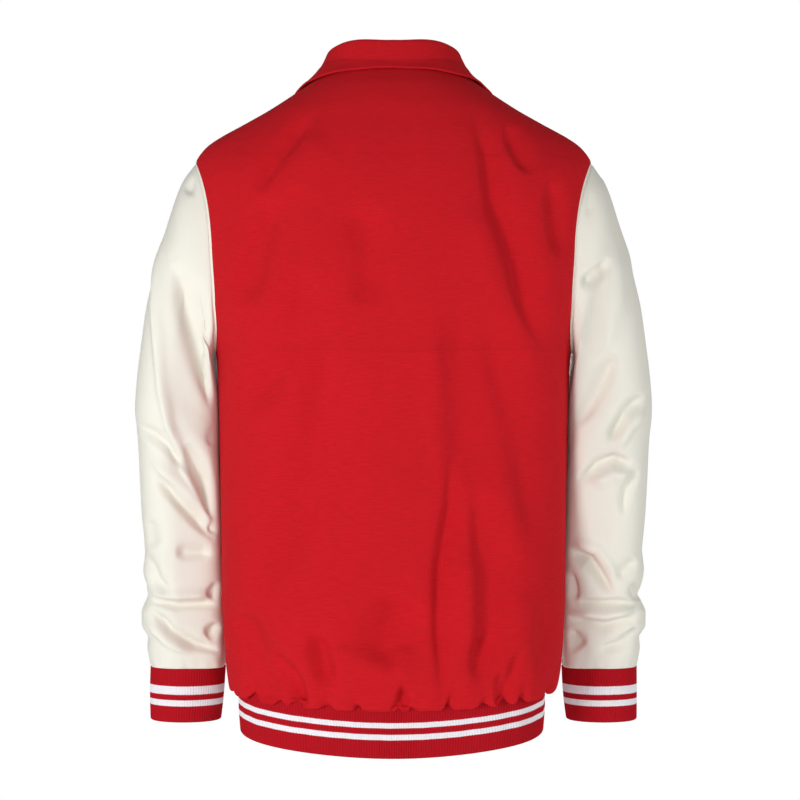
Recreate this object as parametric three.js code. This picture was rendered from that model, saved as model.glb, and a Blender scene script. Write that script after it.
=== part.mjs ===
// A varsity jacket as worn: two-ply collar, back, two lapped fronts, set-in sleeves,
// rib-knit cuffs and hem, and press studs. Each sewn piece is its own closed wall.
// Millimetres, +Z up, front towards -Y, origin at the centre of the neck opening,
// level with the neck seam at the centre back.
import * as THREE from "three";

const DEG = Math.PI / 180;

// Driving sizes
const CLOTH = 2; // wall of the body and sleeves
const COLLAR_CLOTH = 2.2; // wall of the two-ply collar
const RIB_CLOTH = 2.4; // wall of the doubled rib knit, under its ribs
const SEAM_GAP = 0.3; // between neighbouring pieces
const NECK = { side: 72, back: 62, front: 80 }; // half-widths of the neck opening, seen from above
const HEM_SEAM_Z = -654; // seam between body and hem rib, at the centre back
const HEM_RIB_HEIGHT = 52;
const HEM_RISE = { side: 18, fromZ: -400 }; // the hem slopes up towards the front
const ROLL = { centre: 3, side: 24, above: 12, wide: 14 }; // the body sags over the hem seam
const ARMHOLE = { top: -97, bottom: -297, back: 62, front: 58, square: 2.4 };
const LAP = 18; // each front crosses the centre front by this much
const LAP_LIFT = CLOTH + 1; // the upper front lies this far out
const LAP_START = 46; // the upper front starts to lift at this distance from the centre
const RIB_LAP_LIFT = RIB_CLOTH + 1.6;
const RIBS = { hem: 100, cuff: 32, depth: 0.9, perInnerStep: 2 };
const CUFF = { height: 57, endX: 222.6, endY: -54, across: 37, deep: 35.5 };
const STUD = { radius: 7.5, height: 2.6, rings: [-95, -190, -285, -380, -475, -570], ribDrop: 26 };

// Torso rings, top to bottom: half-width, depth behind and before the side seam
const TORSO = [
  { z: 8, side: 62, back: 55, front: 52 },
  { z: 5, side: 66, back: 58, front: 55 },
  { z: 0, side: 72, back: 62, front: 58 },
  { z: -12, side: 84, back: 74, front: 63 },
  { z: -22, side: 98, back: 83, front: 67 },
  { z: -51, side: 143, back: 100, front: 75 },
  { z: -66, side: 172, back: 106, front: 79 },
  { z: -78, side: 192, back: 110, front: 87 },
  { z: -87, side: 201, back: 112.5, front: 93 },
  { z: -97, side: 207, back: 115, front: 100 },
  { z: -115, side: 207, back: 119, front: 110 },
  { z: -150, side: 206, back: 124, front: 122 },
  { z: -200, side: 203, back: 128, front: 131 },
  { z: -245, side: 197, back: 128, front: 134 },
  { z: -275, side: 190, back: 127, front: 134 },
  { z: -303, side: 185, back: 126, front: 134 },
  { z: -352, side: 183, back: 122, front: 132 },
  { z: -422, side: 181.5, back: 118, front: 130 },
  { z: -502, side: 180, back: 119, front: 130 },
  { z: -570, side: 179.5, back: 124, front: 132 },
  { z: -605, side: 178, back: 126, front: 133 },
  { z: -628, side: 176, back: 125, front: 131 },
  { z: -641, side: 171.5, back: 122, front: 126 },
  { z: -648, side: 166, back: 118, front: 120 },
  { z: -654, side: 158, back: 113, front: 115 },
  { z: -680, side: 157.5, back: 111.5, front: 114 },
  { z: -710, side: 156, back: 109, front: 112 },
];
const RIDGE = { soften: 34, below: -22, low: -230 }; // reach and heights of the softening
const SQUARE = { back: 2.35, front: 2.05 }; // 2 is an ellipse, more is squarer

// Sleeve sections from below the armhole to the cuff seam: the outermost and innermost point, and the half-depth
const SLEEVE = [
  { outX: 222, outY: 0, outZ: -119, inX: 189.5, inY: -5, inZ: -304, deep: 63 },
  { outX: 235, outY: 0, outZ: -157, inX: 189, inY: -11, inZ: -320, deep: 66 },
  { outX: 245.5, outY: -1, outZ: -195, inX: 187.5, inY: -18, inZ: -337, deep: 68 },
  { outX: 258, outY: -3, outZ: -242, inX: 185.5, inY: -25, inZ: -357, deep: 69 },
  { outX: 265, outY: -6, outZ: -287, inX: 183.5, inY: -31, inZ: -380, deep: 68 },
  { outX: 269.5, outY: -9, outZ: -321, inX: 182, inY: -35, inZ: -402, deep: 66 },
  { outX: 272, outY: -12, outZ: -356, inX: 181, inY: -38, inZ: -424, deep: 64 },
  { outX: 269.5, outY: -16, outZ: -386, inX: 180.5, inY: -41, inZ: -443, deep: 62 },
  { outX: 268, outY: -22, outZ: -430, inX: 180, inY: -44, inZ: -470, deep: 59 },
  { outX: 266.5, outY: -27, outZ: -466, inX: 179.5, inY: -47, inZ: -492, deep: 56 },
  { outX: 264, outY: -32, outZ: -503, inX: 179, inY: -50, inZ: -516, deep: 53 },
  { outX: 266, outY: -36, outZ: -526, inX: 178.5, inY: -52, inZ: -534, deep: 51 },
  { outX: 262, outY: -39, outZ: -551, inX: 178.5, inY: -54, inZ: -555, deep: 49 },
  { outX: 268.5, outY: -42, outZ: -570, inX: 178, inY: -55, inZ: -572, deep: 47.5 },
  { outX: 268.5, outY: -44, outZ: -585, inX: 178.5, inY: -56, inZ: -586, deep: 45 },
  { outX: 262, outY: -46, outZ: -597, inX: 179.5, inY: -56, inZ: -597, deep: 43 },
  { outX: 263, outY: -48, outZ: -609, inX: 179.5, inY: -56, inZ: -609, deep: 41.5 },
  { outX: 259.5, outY: -50, outZ: -629, inX: 180.5, inY: -56, inZ: -629, deep: 38.5 },
];

// Collar stations from centre back to centre front, in degrees round the neck. Edge and edgeZ place the fall's
// lower edge; rise and lean place the fold line above and inside the neck seam
const COLLAR = [
  { angle: 0, edge: 0, edgeZ: -7, rise: 21, lean: 3.5 },
  { angle: 35, edge: 35, edgeZ: -9, rise: 19.5, lean: 3.5 },
  { angle: 65, edge: 65, edgeZ: -15, rise: 16, lean: 4 },
  { angle: 90, edge: 90, edgeZ: -22, rise: 12.5, lean: 4.5 },
  { angle: 115, edge: 112, edgeZ: -42, rise: 9.5, lean: 4.5 },
  { angle: 145, edge: 131, edgeZ: -78, rise: 7, lean: 3.5 },
  { angle: 165, edge: 143, edgeZ: -103, rise: 6, lean: 2.5 },
  { angle: 176.5, edge: 151, edgeZ: -122, rise: 5.5, lean: 2 },
];
const COLLAR_FOLD = 2.7; // radius of the turn at the collar's fold line, to mid-cloth

// Folds seen from behind, in x and z: troughs have a negative depth
const BACK_FOLDS = [
  { x1: 92, z1: -62, x2: 143, z2: -128, wide: 17, depth: -4.5 },
  { x1: 130, z1: -250, x2: 150, z2: -370, wide: 20, depth: -3 },
  { x1: -88, z1: -85, x2: -150, z2: -270, wide: 19, depth: -5 },
  { x1: 20, z1: -540, x2: 42, z2: -615, wide: 26, depth: -4 },
  { x1: -50, z1: -430, x2: -46, z2: -630, wide: 14, depth: -4.5 },
  { x1: -104, z1: -500, x2: -98, z2: -625, wide: 14, depth: -4 },
];
const FRONT_FOLDS = [
  { x1: 88, z1: -110, x2: 128, z2: -210, wide: 18, depth: -4 },
  { x1: -88, z1: -110, x2: -132, z2: -200, wide: 18, depth: -4 },
  { x1: 66, z1: -470, x2: 60, z2: -630, wide: 15, depth: -4 },
  { x1: -78, z1: -500, x2: -68, z2: -630, wide: 15, depth: -4 },
];
const LEFT_SLEEVE_FOLDS = [
  { x1: 212, z1: -200, x2: 200, z2: -345, wide: 16, depth: -5 },
  { x1: 240, z1: -433, x2: 200, z2: -486, wide: 11, depth: -5 },
  { x1: 256, z1: -508, x2: 236, z2: -540, wide: 10, depth: -3.5 },
  { x1: 256, z1: -558, x2: 190, z2: -560, wide: 8, depth: -4 },
  { x1: 256, z1: -590, x2: 186, z2: -612, wide: 8, depth: -3.5 },
];
const RIGHT_SLEEVE_FOLDS = [
  { x1: 250, z1: -350, x2: 222, z2: -395, wide: 14, depth: -5 },
  { x1: 242, z1: -415, x2: 204, z2: -430, wide: 12, depth: -5 },
  { x1: 194, z1: -509, x2: 228, z2: -548, wide: 9, depth: -5 },
  { x1: 256, z1: -574, x2: 190, z2: -566, wide: 8, depth: -4 },
  { x1: 252, z1: -600, x2: 196, z2: -616, wide: 8, depth: -3 },
];
// Gathers into the hem rib, evenly placed round the body, each of its own depth
const GATHERS = { count: 18, above: 34, depths: [2.4, 1.2, 3.2, 1.7, 3.8, 1, 2.8, 2, 3.4] };

// Columns and rows of the walls
const BACK_COLUMNS = 32;
const FRONT_COLUMNS = 16;
const ARM_STEPS = 10;
const LOW_ROWS = [-654, -651, -647, -641, -631, -612, -575, -515, -440, -365];
const SHOULDER_ROWS = [-79, -54, -30, -13];
const COLLAR_COLUMNS = 34;

const clamp = (t) => Math.min(1, Math.max(0, t));
const mix = (a, b, t) => a + (b - a) * t;
const smooth = (t) => clamp(t) ** 2 * (3 - 2 * clamp(t));
const vector = (x, y, z) => new THREE.Vector3(x, y, z);

// A named column of a table at t, by a smooth curve that never overshoots its rows
function along(rows, key, column, t) {
  const sign = rows[0][key] < rows[rows.length - 1][key] ? 1 : -1;
  let i = 0;
  while (i < rows.length - 2 && (t - rows[i + 1][key]) * sign > 0) i++;
  const from = rows[i];
  const to = rows[i + 1];
  const span = to[key] - from[key];
  const straight = (to[column] - from[column]) / span;
  const slope = (before, after) => {
    const m = (after[column] - before[column]) / (after[key] - before[key]);
    return m * straight <= 0 ? 0 : Math.sign(m) * Math.min(Math.abs(m), 2.5 * Math.abs(straight)) * span;
  };
  const m0 = slope(rows[Math.max(0, i - 1)], to);
  const m1 = slope(from, rows[Math.min(rows.length - 1, i + 2)]);
  const s = clamp((t - from[key]) / span);
  const rise = s * s * (3 - 2 * s);
  return mix(from[column], to[column], rise) + s * (1 - s) ** 2 * m0 - s * s * (1 - s) * m1;
}

// Where a function that only rises or only falls crosses zero
function solve(f, low, high) {
  const rising = f(high) > f(low);
  let [a, b] = [low, high];
  for (let i = 0; i < 40; i++) {
    const mid = (a + b) / 2;
    if (f(mid) > 0 === rising) b = mid;
    else a = mid;
  }
  return (a + b) / 2;
}

// Angles run round the body from the centre back: 90 degrees is the wearer's left side
const oval = (angle, side, depth, square) =>
  (Math.abs(Math.sin(angle) / side) ** square + Math.abs(Math.cos(angle) / depth) ** square) ** (-1 / square);

// The shoulder's ridge softens away from the side: there each radius is a mean over nearby heights
function torsoRadius(angle, z) {
  const face = Math.cos(angle) > 0 ? "back" : "front";
  const reach = RIDGE.soften * smooth(Math.abs(Math.cos(angle)) * 2.2);
  const at = (h) => oval(angle, along(TORSO, "z", "side", h), along(TORSO, "z", face, h), SQUARE[face]);
  const fade = smooth((z - RIDGE.low) / 60) * smooth((RIDGE.below - z) / 40) * reach;
  return (at(z) + at(z - fade) + at(z + fade) + at(z - fade / 2) + at(z + fade / 2)) / 5;
}

// Height of the neck seam at an angle
function neckZ(angle) {
  const radius = oval(angle, NECK.side, Math.cos(angle) > 0 ? NECK.back : NECK.front, 2);
  return solve((z) => torsoRadius(angle, z) - radius, -150, 8);
}

// How far the folds move a surface at x and z
function foldDepth(folds, x, z) {
  let total = 0;
  for (const f of folds) {
    const dx = f.x2 - f.x1;
    const dz = f.z2 - f.z1;
    const t = clamp(((x - f.x1) * dx + (z - f.z1) * dz) / (dx * dx + dz * dz));
    const off = Math.hypot(x - f.x1 - t * dx, z - f.z1 - t * dz) / f.wide;
    total += f.depth * smooth(t * 3 + 0.3) * smooth((1 - t) * 3 + 0.3) * Math.exp(-off * off);
  }
  return total;
}

// The gathers are troughs that deepen towards the hem seam and leave the lapped fronts plain
function gatherDepth(angle, above) {
  const plain = smooth(Math.abs(Math.PI - Math.abs(angle)) * 6 - 1);
  const place = (angle / (2 * Math.PI) + 2) * GATHERS.count;
  const depth = GATHERS.depths[Math.floor(place) % GATHERS.depths.length];
  const wave = Math.sin(Math.PI * (place % 1)) ** 2;
  return -plain * depth * wave * Math.exp(-((above / GATHERS.above) ** 2)) * smooth(above / 10);
}

// The torso's surface, with its folds, raised by lift
function torsoPoint(angle, z, lift = 0) {
  const above = z - HEM_SEAM_Z;
  const plain = torsoRadius(angle, z);
  const folds = Math.cos(angle) > 0 ? BACK_FOLDS : FRONT_FOLDS;
  const facing = smooth(Math.abs(Math.cos(angle)) * 3) * smooth(above / 20);
  const radius =
    plain + lift + facing * foldDepth(folds, plain * Math.sin(angle), z) + gatherDepth(angle, above);
  const rise = HEM_RISE.side * (1 - Math.cos(angle)) * smooth((HEM_RISE.fromZ - z) / (HEM_RISE.fromZ - HEM_SEAM_Z));
  const sag = mix(ROLL.centre, ROLL.side, Math.sin(angle) ** 2) * smooth(above / 6);
  const roll = sag * Math.exp(-(((above - ROLL.above) / ROLL.wide) ** 2));
  return vector(radius * Math.sin(angle), radius * Math.cos(angle), z + rise - roll);
}

// The upper front's lift near the centre front
function lapLift(angle, z, full = LAP_LIFT) {
  const distance = (Math.PI - angle) * torsoRadius(Math.PI, z);
  return full * smooth((LAP_START - distance) / (LAP_START - LAP));
}

// Outward normal of a surface given by a function of an angle and a height
function normalOf(point, angle, z) {
  const e = 1e-3;
  const up = point(angle, z + e).sub(point(angle, z - e));
  const round = point(angle + e, z).sub(point(angle - e, z));
  return up.cross(round).normalize();
}

// Rows of the body panels, as shares of the way from the hem seam to the neck seam
const shareOf = (z) => (z - HEM_SEAM_Z) / (neckZ(90 * DEG) - HEM_SEAM_Z);
const ARM_SHARES = Array.from({ length: ARM_STEPS + 1 }, (_, i) =>
  mix(shareOf(ARMHOLE.bottom), shareOf(ARMHOLE.top), (1 - Math.cos((Math.PI * i) / ARM_STEPS)) / 2),
);
const SHARES = [...LOW_ROWS.map(shareOf), ...ARM_SHARES, ...SHOULDER_ROWS.map(shareOf), 1];
const heightOn = (angle, share) => mix(HEM_SEAM_Z, neckZ(angle), share);

// Half-width of the armhole at a height
function armholeWidth(z, face) {
  const t = Math.abs((2 * (z - ARMHOLE.bottom)) / (ARMHOLE.top - ARMHOLE.bottom) - 1);
  return t < 1 ? ARMHOLE[face] * (1 - t ** ARMHOLE.square) ** (1 / ARMHOLE.square) : 0;
}

// Where a row ends: at the side or shoulder seam, or at the armhole
function sideAngle(share, face) {
  const isPlain = share < ARM_SHARES[0] + 1e-6 || share > ARM_SHARES[ARM_STEPS] - 1e-6;
  if (isPlain) return 90 * DEG;
  const past = (angle) => {
    const z = heightOn(angle, share);
    return torsoRadius(angle, z) * Math.abs(Math.cos(angle)) - armholeWidth(z, face);
  };
  return solve(past, 90 * DEG, face === "back" ? 0 : 180 * DEG);
}

// Closed walls. Outward is the row direction crossed with the column direction.
// The inner grid may have fewer columns than the outer one
function wallGeometry(outer, inner, closed = false) {
  const wrap = closed ? 0 : 1;
  const count = { outer: outer[0].length, inner: inner[0].length };
  const steps = { outer: count.outer - wrap, inner: count.inner - wrap };
  const rows = outer.length;
  const ratio = steps.outer / steps.inner;
  const half = Math.ceil(ratio / 2);
  const points = [...outer.flat(), ...inner.flat()];
  const o = (r, c) => r * count.outer + (c % count.outer);
  const i = (r, c) => rows * count.outer + r * count.inner + (c % count.inner);
  const index = [];
  // Each quad is split along its shorter diagonal
  const quad = (a, b, c, d) => {
    if (points[a].distanceTo(points[c]) <= points[b].distanceTo(points[d])) index.push(a, b, c, a, c, d);
    else index.push(a, b, d, b, c, d);
  };
  for (let r = 0; r < rows - 1; r++) {
    for (let c = 0; c < steps.outer; c++) quad(o(r, c), o(r + 1, c), o(r + 1, c + 1), o(r, c + 1));
    for (let c = 0; c < steps.inner; c++) quad(i(r, c), i(r, c + 1), i(r + 1, c + 1), i(r + 1, c));
    if (closed) continue;
    quad(o(r, 0), i(r, 0), i(r + 1, 0), o(r + 1, 0));
    quad(i(r, steps.inner), o(r, steps.outer), o(r + 1, steps.outer), i(r + 1, steps.inner));
  }
  const last = rows - 1;
  for (let c = 0; c < steps.inner; c++) {
    for (let k = 0; k < ratio; k++) {
      const near = k < half ? c : c + 1;
      const from = c * ratio + k;
      index.push(i(0, near), o(0, from), o(0, from + 1));
      index.push(i(last, near), o(last, from + 1), o(last, from));
    }
    const middle = c * ratio + half;
    index.push(i(0, c), o(0, middle), i(0, c + 1));
    index.push(i(last, c), i(last, c + 1), o(last, middle));
  }
  const geometry = new THREE.BufferGeometry().setFromPoints(points);
  geometry.setIndex(index);
  return geometry;
}

// Draws the edges of a grid in by half the seam gap
function trimmed(grid) {
  const last = grid[0].length - 1;
  const top = grid.length - 1;
  const pull = (p, towards) => p.add(towards.clone().sub(p).setLength(SEAM_GAP / 2));
  for (const row of grid) {
    pull(row[0], row[1]);
    pull(row[last], row[last - 1]);
  }
  for (let c = 0; c <= last; c++) {
    pull(grid[0][c], grid[1][c]);
    pull(grid[top][c], grid[top - 1][c]);
  }
  return grid;
}

// Normals of a grid of points from its neighbours
function gridNormals(grid, closed = false) {
  const top = grid.length - 1;
  const count = grid[0].length;
  return grid.map((row, r) =>
    row.map((_, c) => {
      const up = grid[Math.min(top, r + 1)][c].clone().sub(grid[Math.max(0, r - 1)][c]);
      const after = closed ? (c + 1) % count : Math.min(count - 1, c + 1);
      const before = closed ? (c + count - 1) % count : Math.max(0, c - 1);
      return up.cross(row[after].clone().sub(row[before])).normalize();
    }),
  );
}

const moved = (grid, normals, by) =>
  grid.map((row, r) => row.map((p, c) => p.clone().addScaledVector(normals[r][c], by)));

// A body panel: rows of angle and height on a surface, thickened inwards
function panelGeometry(point, rows) {
  const outer = rows.map((row) => row.map(([angle, z]) => point(angle, z)));
  const normals = rows.map((row) => row.map(([angle, z]) => normalOf(point, angle, z)));
  const inner = moved(outer, normals, -CLOTH);
  return wallGeometry(trimmed(outer), trimmed(inner));
}

function backGeometry() {
  const rows = SHARES.map((share) => {
    const edge = sideAngle(share, "back");
    return Array.from({ length: BACK_COLUMNS + 1 }, (_, i) => {
      const angle = mix(-edge, edge, i / BACK_COLUMNS);
      return [angle, heightOn(angle, share)];
    });
  });
  return panelGeometry(torsoPoint, rows);
}

// Side is 1 for the wearer's left front, which laps over the other, and -1 for the right one.
// The lift is measured level, so it grows where the surface slopes
const frontPoint = (side) => (angle, z) => {
  if (side < 0) return torsoPoint(angle, z);
  const slope = normalOf(torsoPoint, angle, z).dot(vector(Math.sin(angle), Math.cos(angle), 0));
  return torsoPoint(angle, z, lapLift(angle, z) / Math.max(0.55, slope));
};

function frontGeometry(side) {
  const rows = SHARES.map((share) => {
    const edge = sideAngle(share, "front");
    const lap = Math.PI + LAP / torsoRadius(Math.PI, heightOn(Math.PI, share));
    const row = Array.from({ length: FRONT_COLUMNS + 1 }, (_, i) => {
      const angle = mix(edge, lap, i / FRONT_COLUMNS);
      return [side * angle, heightOn(angle, share)];
    });
    return side > 0 ? row : row.reverse();
  });
  return panelGeometry(frontPoint(side), rows);
}

// Points of the armhole's edge, from the shoulder down the back and up the front, with the surface's normals
function armholeRing(side) {
  const stops = [];
  for (let i = ARM_STEPS; i > 0; i--) stops.push([ARM_SHARES[i], "back"]);
  for (let i = 0; i < ARM_STEPS; i++) stops.push([ARM_SHARES[i], "front"]);
  const spots = stops.map(([share, face]) => {
    const angle = sideAngle(share, face);
    return [side * angle, heightOn(angle, share)];
  });
  return {
    points: spots.map(([angle, z]) => torsoPoint(angle, z)),
    normals: spots.map(([angle, z]) => normalOf(torsoPoint, angle, z)),
  };
}

function sleeveSection(section, side, folds) {
  const count = 2 * ARM_STEPS;
  return Array.from({ length: count }, (_, i) => {
    const turn = (2 * Math.PI * i) / count;
    const lean = (1 + Math.cos(turn)) / 2;
    const x = mix(section.inX, section.outX, lean);
    const z = mix(section.inZ, section.outZ, lean);
    const y = mix(section.inY, section.outY, lean) + section.deep * Math.sin(turn);
    const facing = Math.abs(Math.sin(turn)) ** 0.5 * (turn < Math.PI ? 1 : 0.6);
    const fold = facing * foldDepth(folds, x, z);
    return vector(side * (x + fold * Math.cos(turn)), y + fold * Math.sin(turn), z);
  });
}

// The sleeve turns out of the armhole with a small roll, so that it can hang beside the body
function sleeveGeometry(side, folds) {
  const { points, normals } = armholeRing(side);
  const count = points.length;
  const sections = SLEEVE.map((section) => sleeveSection(section, side, folds));
  const first = sections[0];
  const inward = points.map((p, i) => {
    const round = points[(i + 1) % count].clone().sub(points[(i + count - 1) % count]);
    return normals[i].clone().cross(round).multiplyScalar(-side).normalize();
  });
  const towards = points.map((p, i) => first[i].clone().sub(p).normalize());
  const turn = points.map((p, i) => (1 - inward[i].dot(towards[i])) / 2);
  const from = (i, a, b, c) =>
    points[i].clone().addScaledVector(inward[i], a).addScaledVector(normals[i], b * turn[i]).addScaledVector(towards[i], c);
  const rings = [
    points.map((p, i) => from(i, SEAM_GAP, 0, 0)),
    points.map((p, i) => from(i, 1.9, 1.7, 0)),
    points.map((p, i) => from(i, 0.2, 3.8, 3.4)),
    ...sections,
  ];
  const ordered = side > 0 ? rings : rings.map((ring) => [ring[0], ...ring.slice(1).reverse()]);
  const inner = moved(ordered, gridNormals(ordered, true), -CLOTH);
  const seam = points.map((p, i) => from(i, SEAM_GAP, 0, 0).addScaledVector(normals[i], -CLOTH));
  inner[0] = side > 0 ? seam : [seam[0], ...seam.slice(1).reverse()];
  return wallGeometry(ordered, inner, true);
}

// A knitted band: rows of plain points and their outward directions, ribs raised on every other column
function ribGeometry(rows, outwards, closed) {
  const skip = 2 * RIBS.perInnerStep;
  const outer = rows.map((row, r) =>
    row.map((p, c) => p.clone().addScaledVector(outwards[r][c], c % 2 ? RIBS.depth : 0)),
  );
  const inner = moved(rows, outwards, -RIB_CLOTH).map((row) => row.filter((_, c) => c % skip === 0));
  return wallGeometry(outer, inner, closed);
}

// Bands are given by heights up from their lower edge, drawn in a little at that edge
const BAND_ROWS = [
  { up: 0, inset: 0.8 },
  { up: 0.06, inset: 0 },
  { up: 0.5, inset: -0.5 },
  { up: 1, inset: 0 },
];

function hemGeometry() {
  const columns = 2 * RIBS.hem;
  const end = Math.PI + LAP / torsoRadius(Math.PI, HEM_SEAM_Z);
  const point = (angle, z) => torsoPoint(angle, z, lapLift(angle, z, RIB_LAP_LIFT));
  const spots = BAND_ROWS.map(({ up }) =>
    Array.from({ length: columns + 1 }, (_, i) => [
      mix(-end, end, i / columns),
      HEM_SEAM_Z - SEAM_GAP - HEM_RIB_HEIGHT * (1 - up),
    ]),
  );
  const outwards = spots.map((row) => row.map(([angle, z]) => normalOf(point, angle, z)));
  const rows = spots.map((row, r) =>
    row.map(([angle, z], c) => point(angle, z).addScaledVector(outwards[r][c], -BAND_ROWS[r].inset)),
  );
  return ribGeometry(rows, outwards, false);
}

function cuffGeometry(side) {
  const top = SLEEVE[SLEEVE.length - 1];
  const columns = 2 * RIBS.cuff;
  const outwards = [];
  const rows = BAND_ROWS.map(({ up, inset }) => {
    const x = side * mix(CUFF.endX, (top.outX + top.inX) / 2, up);
    const y = mix(CUFF.endY, (top.outY + top.inY) / 2, up);
    const across = mix(CUFF.across, (top.outX - top.inX) / 2, up) - inset;
    const deep = mix(CUFF.deep, top.deep, up) - inset;
    const z = top.outZ - SEAM_GAP - CUFF.height * (1 - up);
    outwards.push([]);
    return Array.from({ length: columns }, (_, i) => {
      const turn = (2 * Math.PI * i) / columns;
      outwards[outwards.length - 1].push(vector(Math.sin(turn) * deep, Math.cos(turn) * across, 0).normalize());
      return vector(x + across * Math.sin(turn), y + deep * Math.cos(turn), z);
    });
  });
  return ribGeometry(rows, outwards, true);
}

// The collar: one folded wall from the neck seam up its stand, over the fold line and down its fall
function collarGeometry() {
  const half = COLLAR_CLOTH / 2;
  const end = COLLAR[COLLAR.length - 1].angle;
  const stations = Array.from({ length: COLLAR_COLUMNS + 1 }, (_, i) => mix(-end, end, i / COLLAR_COLUMNS));
  const columns = stations.map((degrees) => {
    const side = Math.sign(degrees) || 1;
    const station = Math.abs(degrees);
    const at = (column) => along(COLLAR, "angle", column, station);
    const angle = side * station * DEG;
    const seamZ = neckZ(angle);
    const seam = frontPoint(side)(angle, seamZ);
    const normal = normalOf(frontPoint(side), angle, seamZ);
    const outward = vector(Math.sin(angle), Math.cos(angle), 0);
    const lap = lapLift(Math.abs(angle), seamZ);
    const base = seam.clone().addScaledVector(normal, -half);
    const turn = torsoPoint(angle, seamZ, lap).addScaledVector(outward, -at("lean"));
    turn.z += at("rise");
    const round = (degreesUp) =>
      turn.clone()
        .addScaledVector(outward, -Math.cos(degreesUp * DEG) * COLLAR_FOLD)
        .add(vector(0, 0, Math.sin(degreesUp * DEG) * COLLAR_FOLD));
    const stand = round(0);
    const start = base.clone().add(stand.clone().sub(base).setLength(SEAM_GAP + 0.5));
    // The fall lies on the torso, further off it where it crosses the neck seam
    const fall = (share) => {
      const to = side * mix(station, at("edge"), share) * DEG;
      const z = mix(seamZ, at("edgeZ"), share);
      const near = lapLift(Math.abs(to), z);
      const off = half + 1.5 + 2.2 * (1 - share) ** 2;
      return torsoPoint(to, z, near).addScaledVector(normalOf(torsoPoint, to, z), off);
    };
    const fold = [50, 90, 130, 180].map(round);
    return [start, base.clone().lerp(stand, 0.5), stand, ...fold, ...[0, 0.33, 0.67, 1].map(fall)];
  });
  const mid = columns[0].map((_, r) => columns.map((column) => column[r]));
  const normals = gridNormals(mid);
  return wallGeometry(moved(mid, normals, half), moved(mid, normals, -half));
}

// A press-stud cap, its axis along +Z
function studGeometry() {
  const { radius, height } = STUD;
  const profile = [
    [0, 0],
    [radius * 0.98, 0],
    [radius, height * 0.35],
    [radius * 0.9, height * 0.75],
    [radius * 0.68, height * 0.72],
    [radius * 0.5, height * 0.95],
    [0, height],
  ].map(([x, y]) => new THREE.Vector2(x, y));
  return new THREE.LatheGeometry(profile, 12).rotateX(90 * DEG);
}

function placedStud(point, angle, z) {
  const normal = normalOf(point, angle, z);
  const spin = new THREE.Quaternion().setFromUnitVectors(vector(0, 0, 1), normal);
  const at = point(angle, z).addScaledVector(normal, SEAM_GAP + 0.25);
  return studGeometry().applyQuaternion(spin).translate(at.x, at.y, at.z);
}

const materials = {
  body: { color: 0xc81c28, roughness: 0.85, metalness: 0 },
  sleeve: { color: 0xf0efe2, roughness: 0.75, metalness: 0 },
  rib: { color: 0xba1826, roughness: 0.9, metalness: 0 },
  stud: { color: 0xe8e6dc, roughness: 0.35, metalness: 0 },
};
const group = new THREE.Group();

function add(name, geometry, material) {
  const mesh = new THREE.Mesh(geometry, new THREE.MeshStandardMaterial(materials[material]));
  mesh.name = name;
  group.add(mesh);
}

add("back_panel", backGeometry(), "body");
add("front_left", frontGeometry(1), "body");
add("front_right", frontGeometry(-1), "body");
add("sleeve_left", sleeveGeometry(1, LEFT_SLEEVE_FOLDS), "sleeve");
add("sleeve_right", sleeveGeometry(-1, RIGHT_SLEEVE_FOLDS), "sleeve");
add("cuff_left", cuffGeometry(1), "rib");
add("cuff_right", cuffGeometry(-1), "rib");
add("hem_rib", hemGeometry(), "rib");
add("collar", collarGeometry(), "body");
STUD.rings.forEach((z, i) => add(`stud_${i + 1}`, placedStud(frontPoint(1), Math.PI, z), "stud"));
const ribPoint = (angle, z) => torsoPoint(angle, z, RIB_LAP_LIFT + RIBS.depth);
add(`stud_${STUD.rings.length + 1}`, placedStud(ribPoint, Math.PI, HEM_SEAM_Z - STUD.ribDrop), "stud");

export default group;
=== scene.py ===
# Varsity jacket, seen from behind in the form of an unseen wearer.
# Sizes are in millimetres until a mesh is made, angles in degrees round the body from the centre back.
import math

import bpy
import numpy as np
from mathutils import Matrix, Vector


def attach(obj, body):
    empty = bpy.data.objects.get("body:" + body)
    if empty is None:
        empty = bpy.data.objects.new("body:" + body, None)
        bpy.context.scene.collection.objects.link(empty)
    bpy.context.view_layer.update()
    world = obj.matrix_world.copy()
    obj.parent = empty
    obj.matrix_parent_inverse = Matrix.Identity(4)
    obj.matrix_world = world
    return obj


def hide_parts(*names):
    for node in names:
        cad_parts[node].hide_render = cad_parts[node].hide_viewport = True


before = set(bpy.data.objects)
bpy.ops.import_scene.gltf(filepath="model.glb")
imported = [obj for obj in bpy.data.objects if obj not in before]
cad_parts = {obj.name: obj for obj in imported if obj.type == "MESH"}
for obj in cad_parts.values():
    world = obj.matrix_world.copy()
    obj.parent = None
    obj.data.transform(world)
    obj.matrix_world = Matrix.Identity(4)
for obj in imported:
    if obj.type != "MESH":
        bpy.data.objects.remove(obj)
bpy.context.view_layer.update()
metres = 0.001
print("frame loaded")


# Shape maths

def clamp(t):
    return np.clip(t, 0.0, 1.0)


def mix(a, b, t):
    return a + (b - a) * t


def smooth(t):
    t = clamp(t)
    return t * t * (3 - 2 * t)


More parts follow.
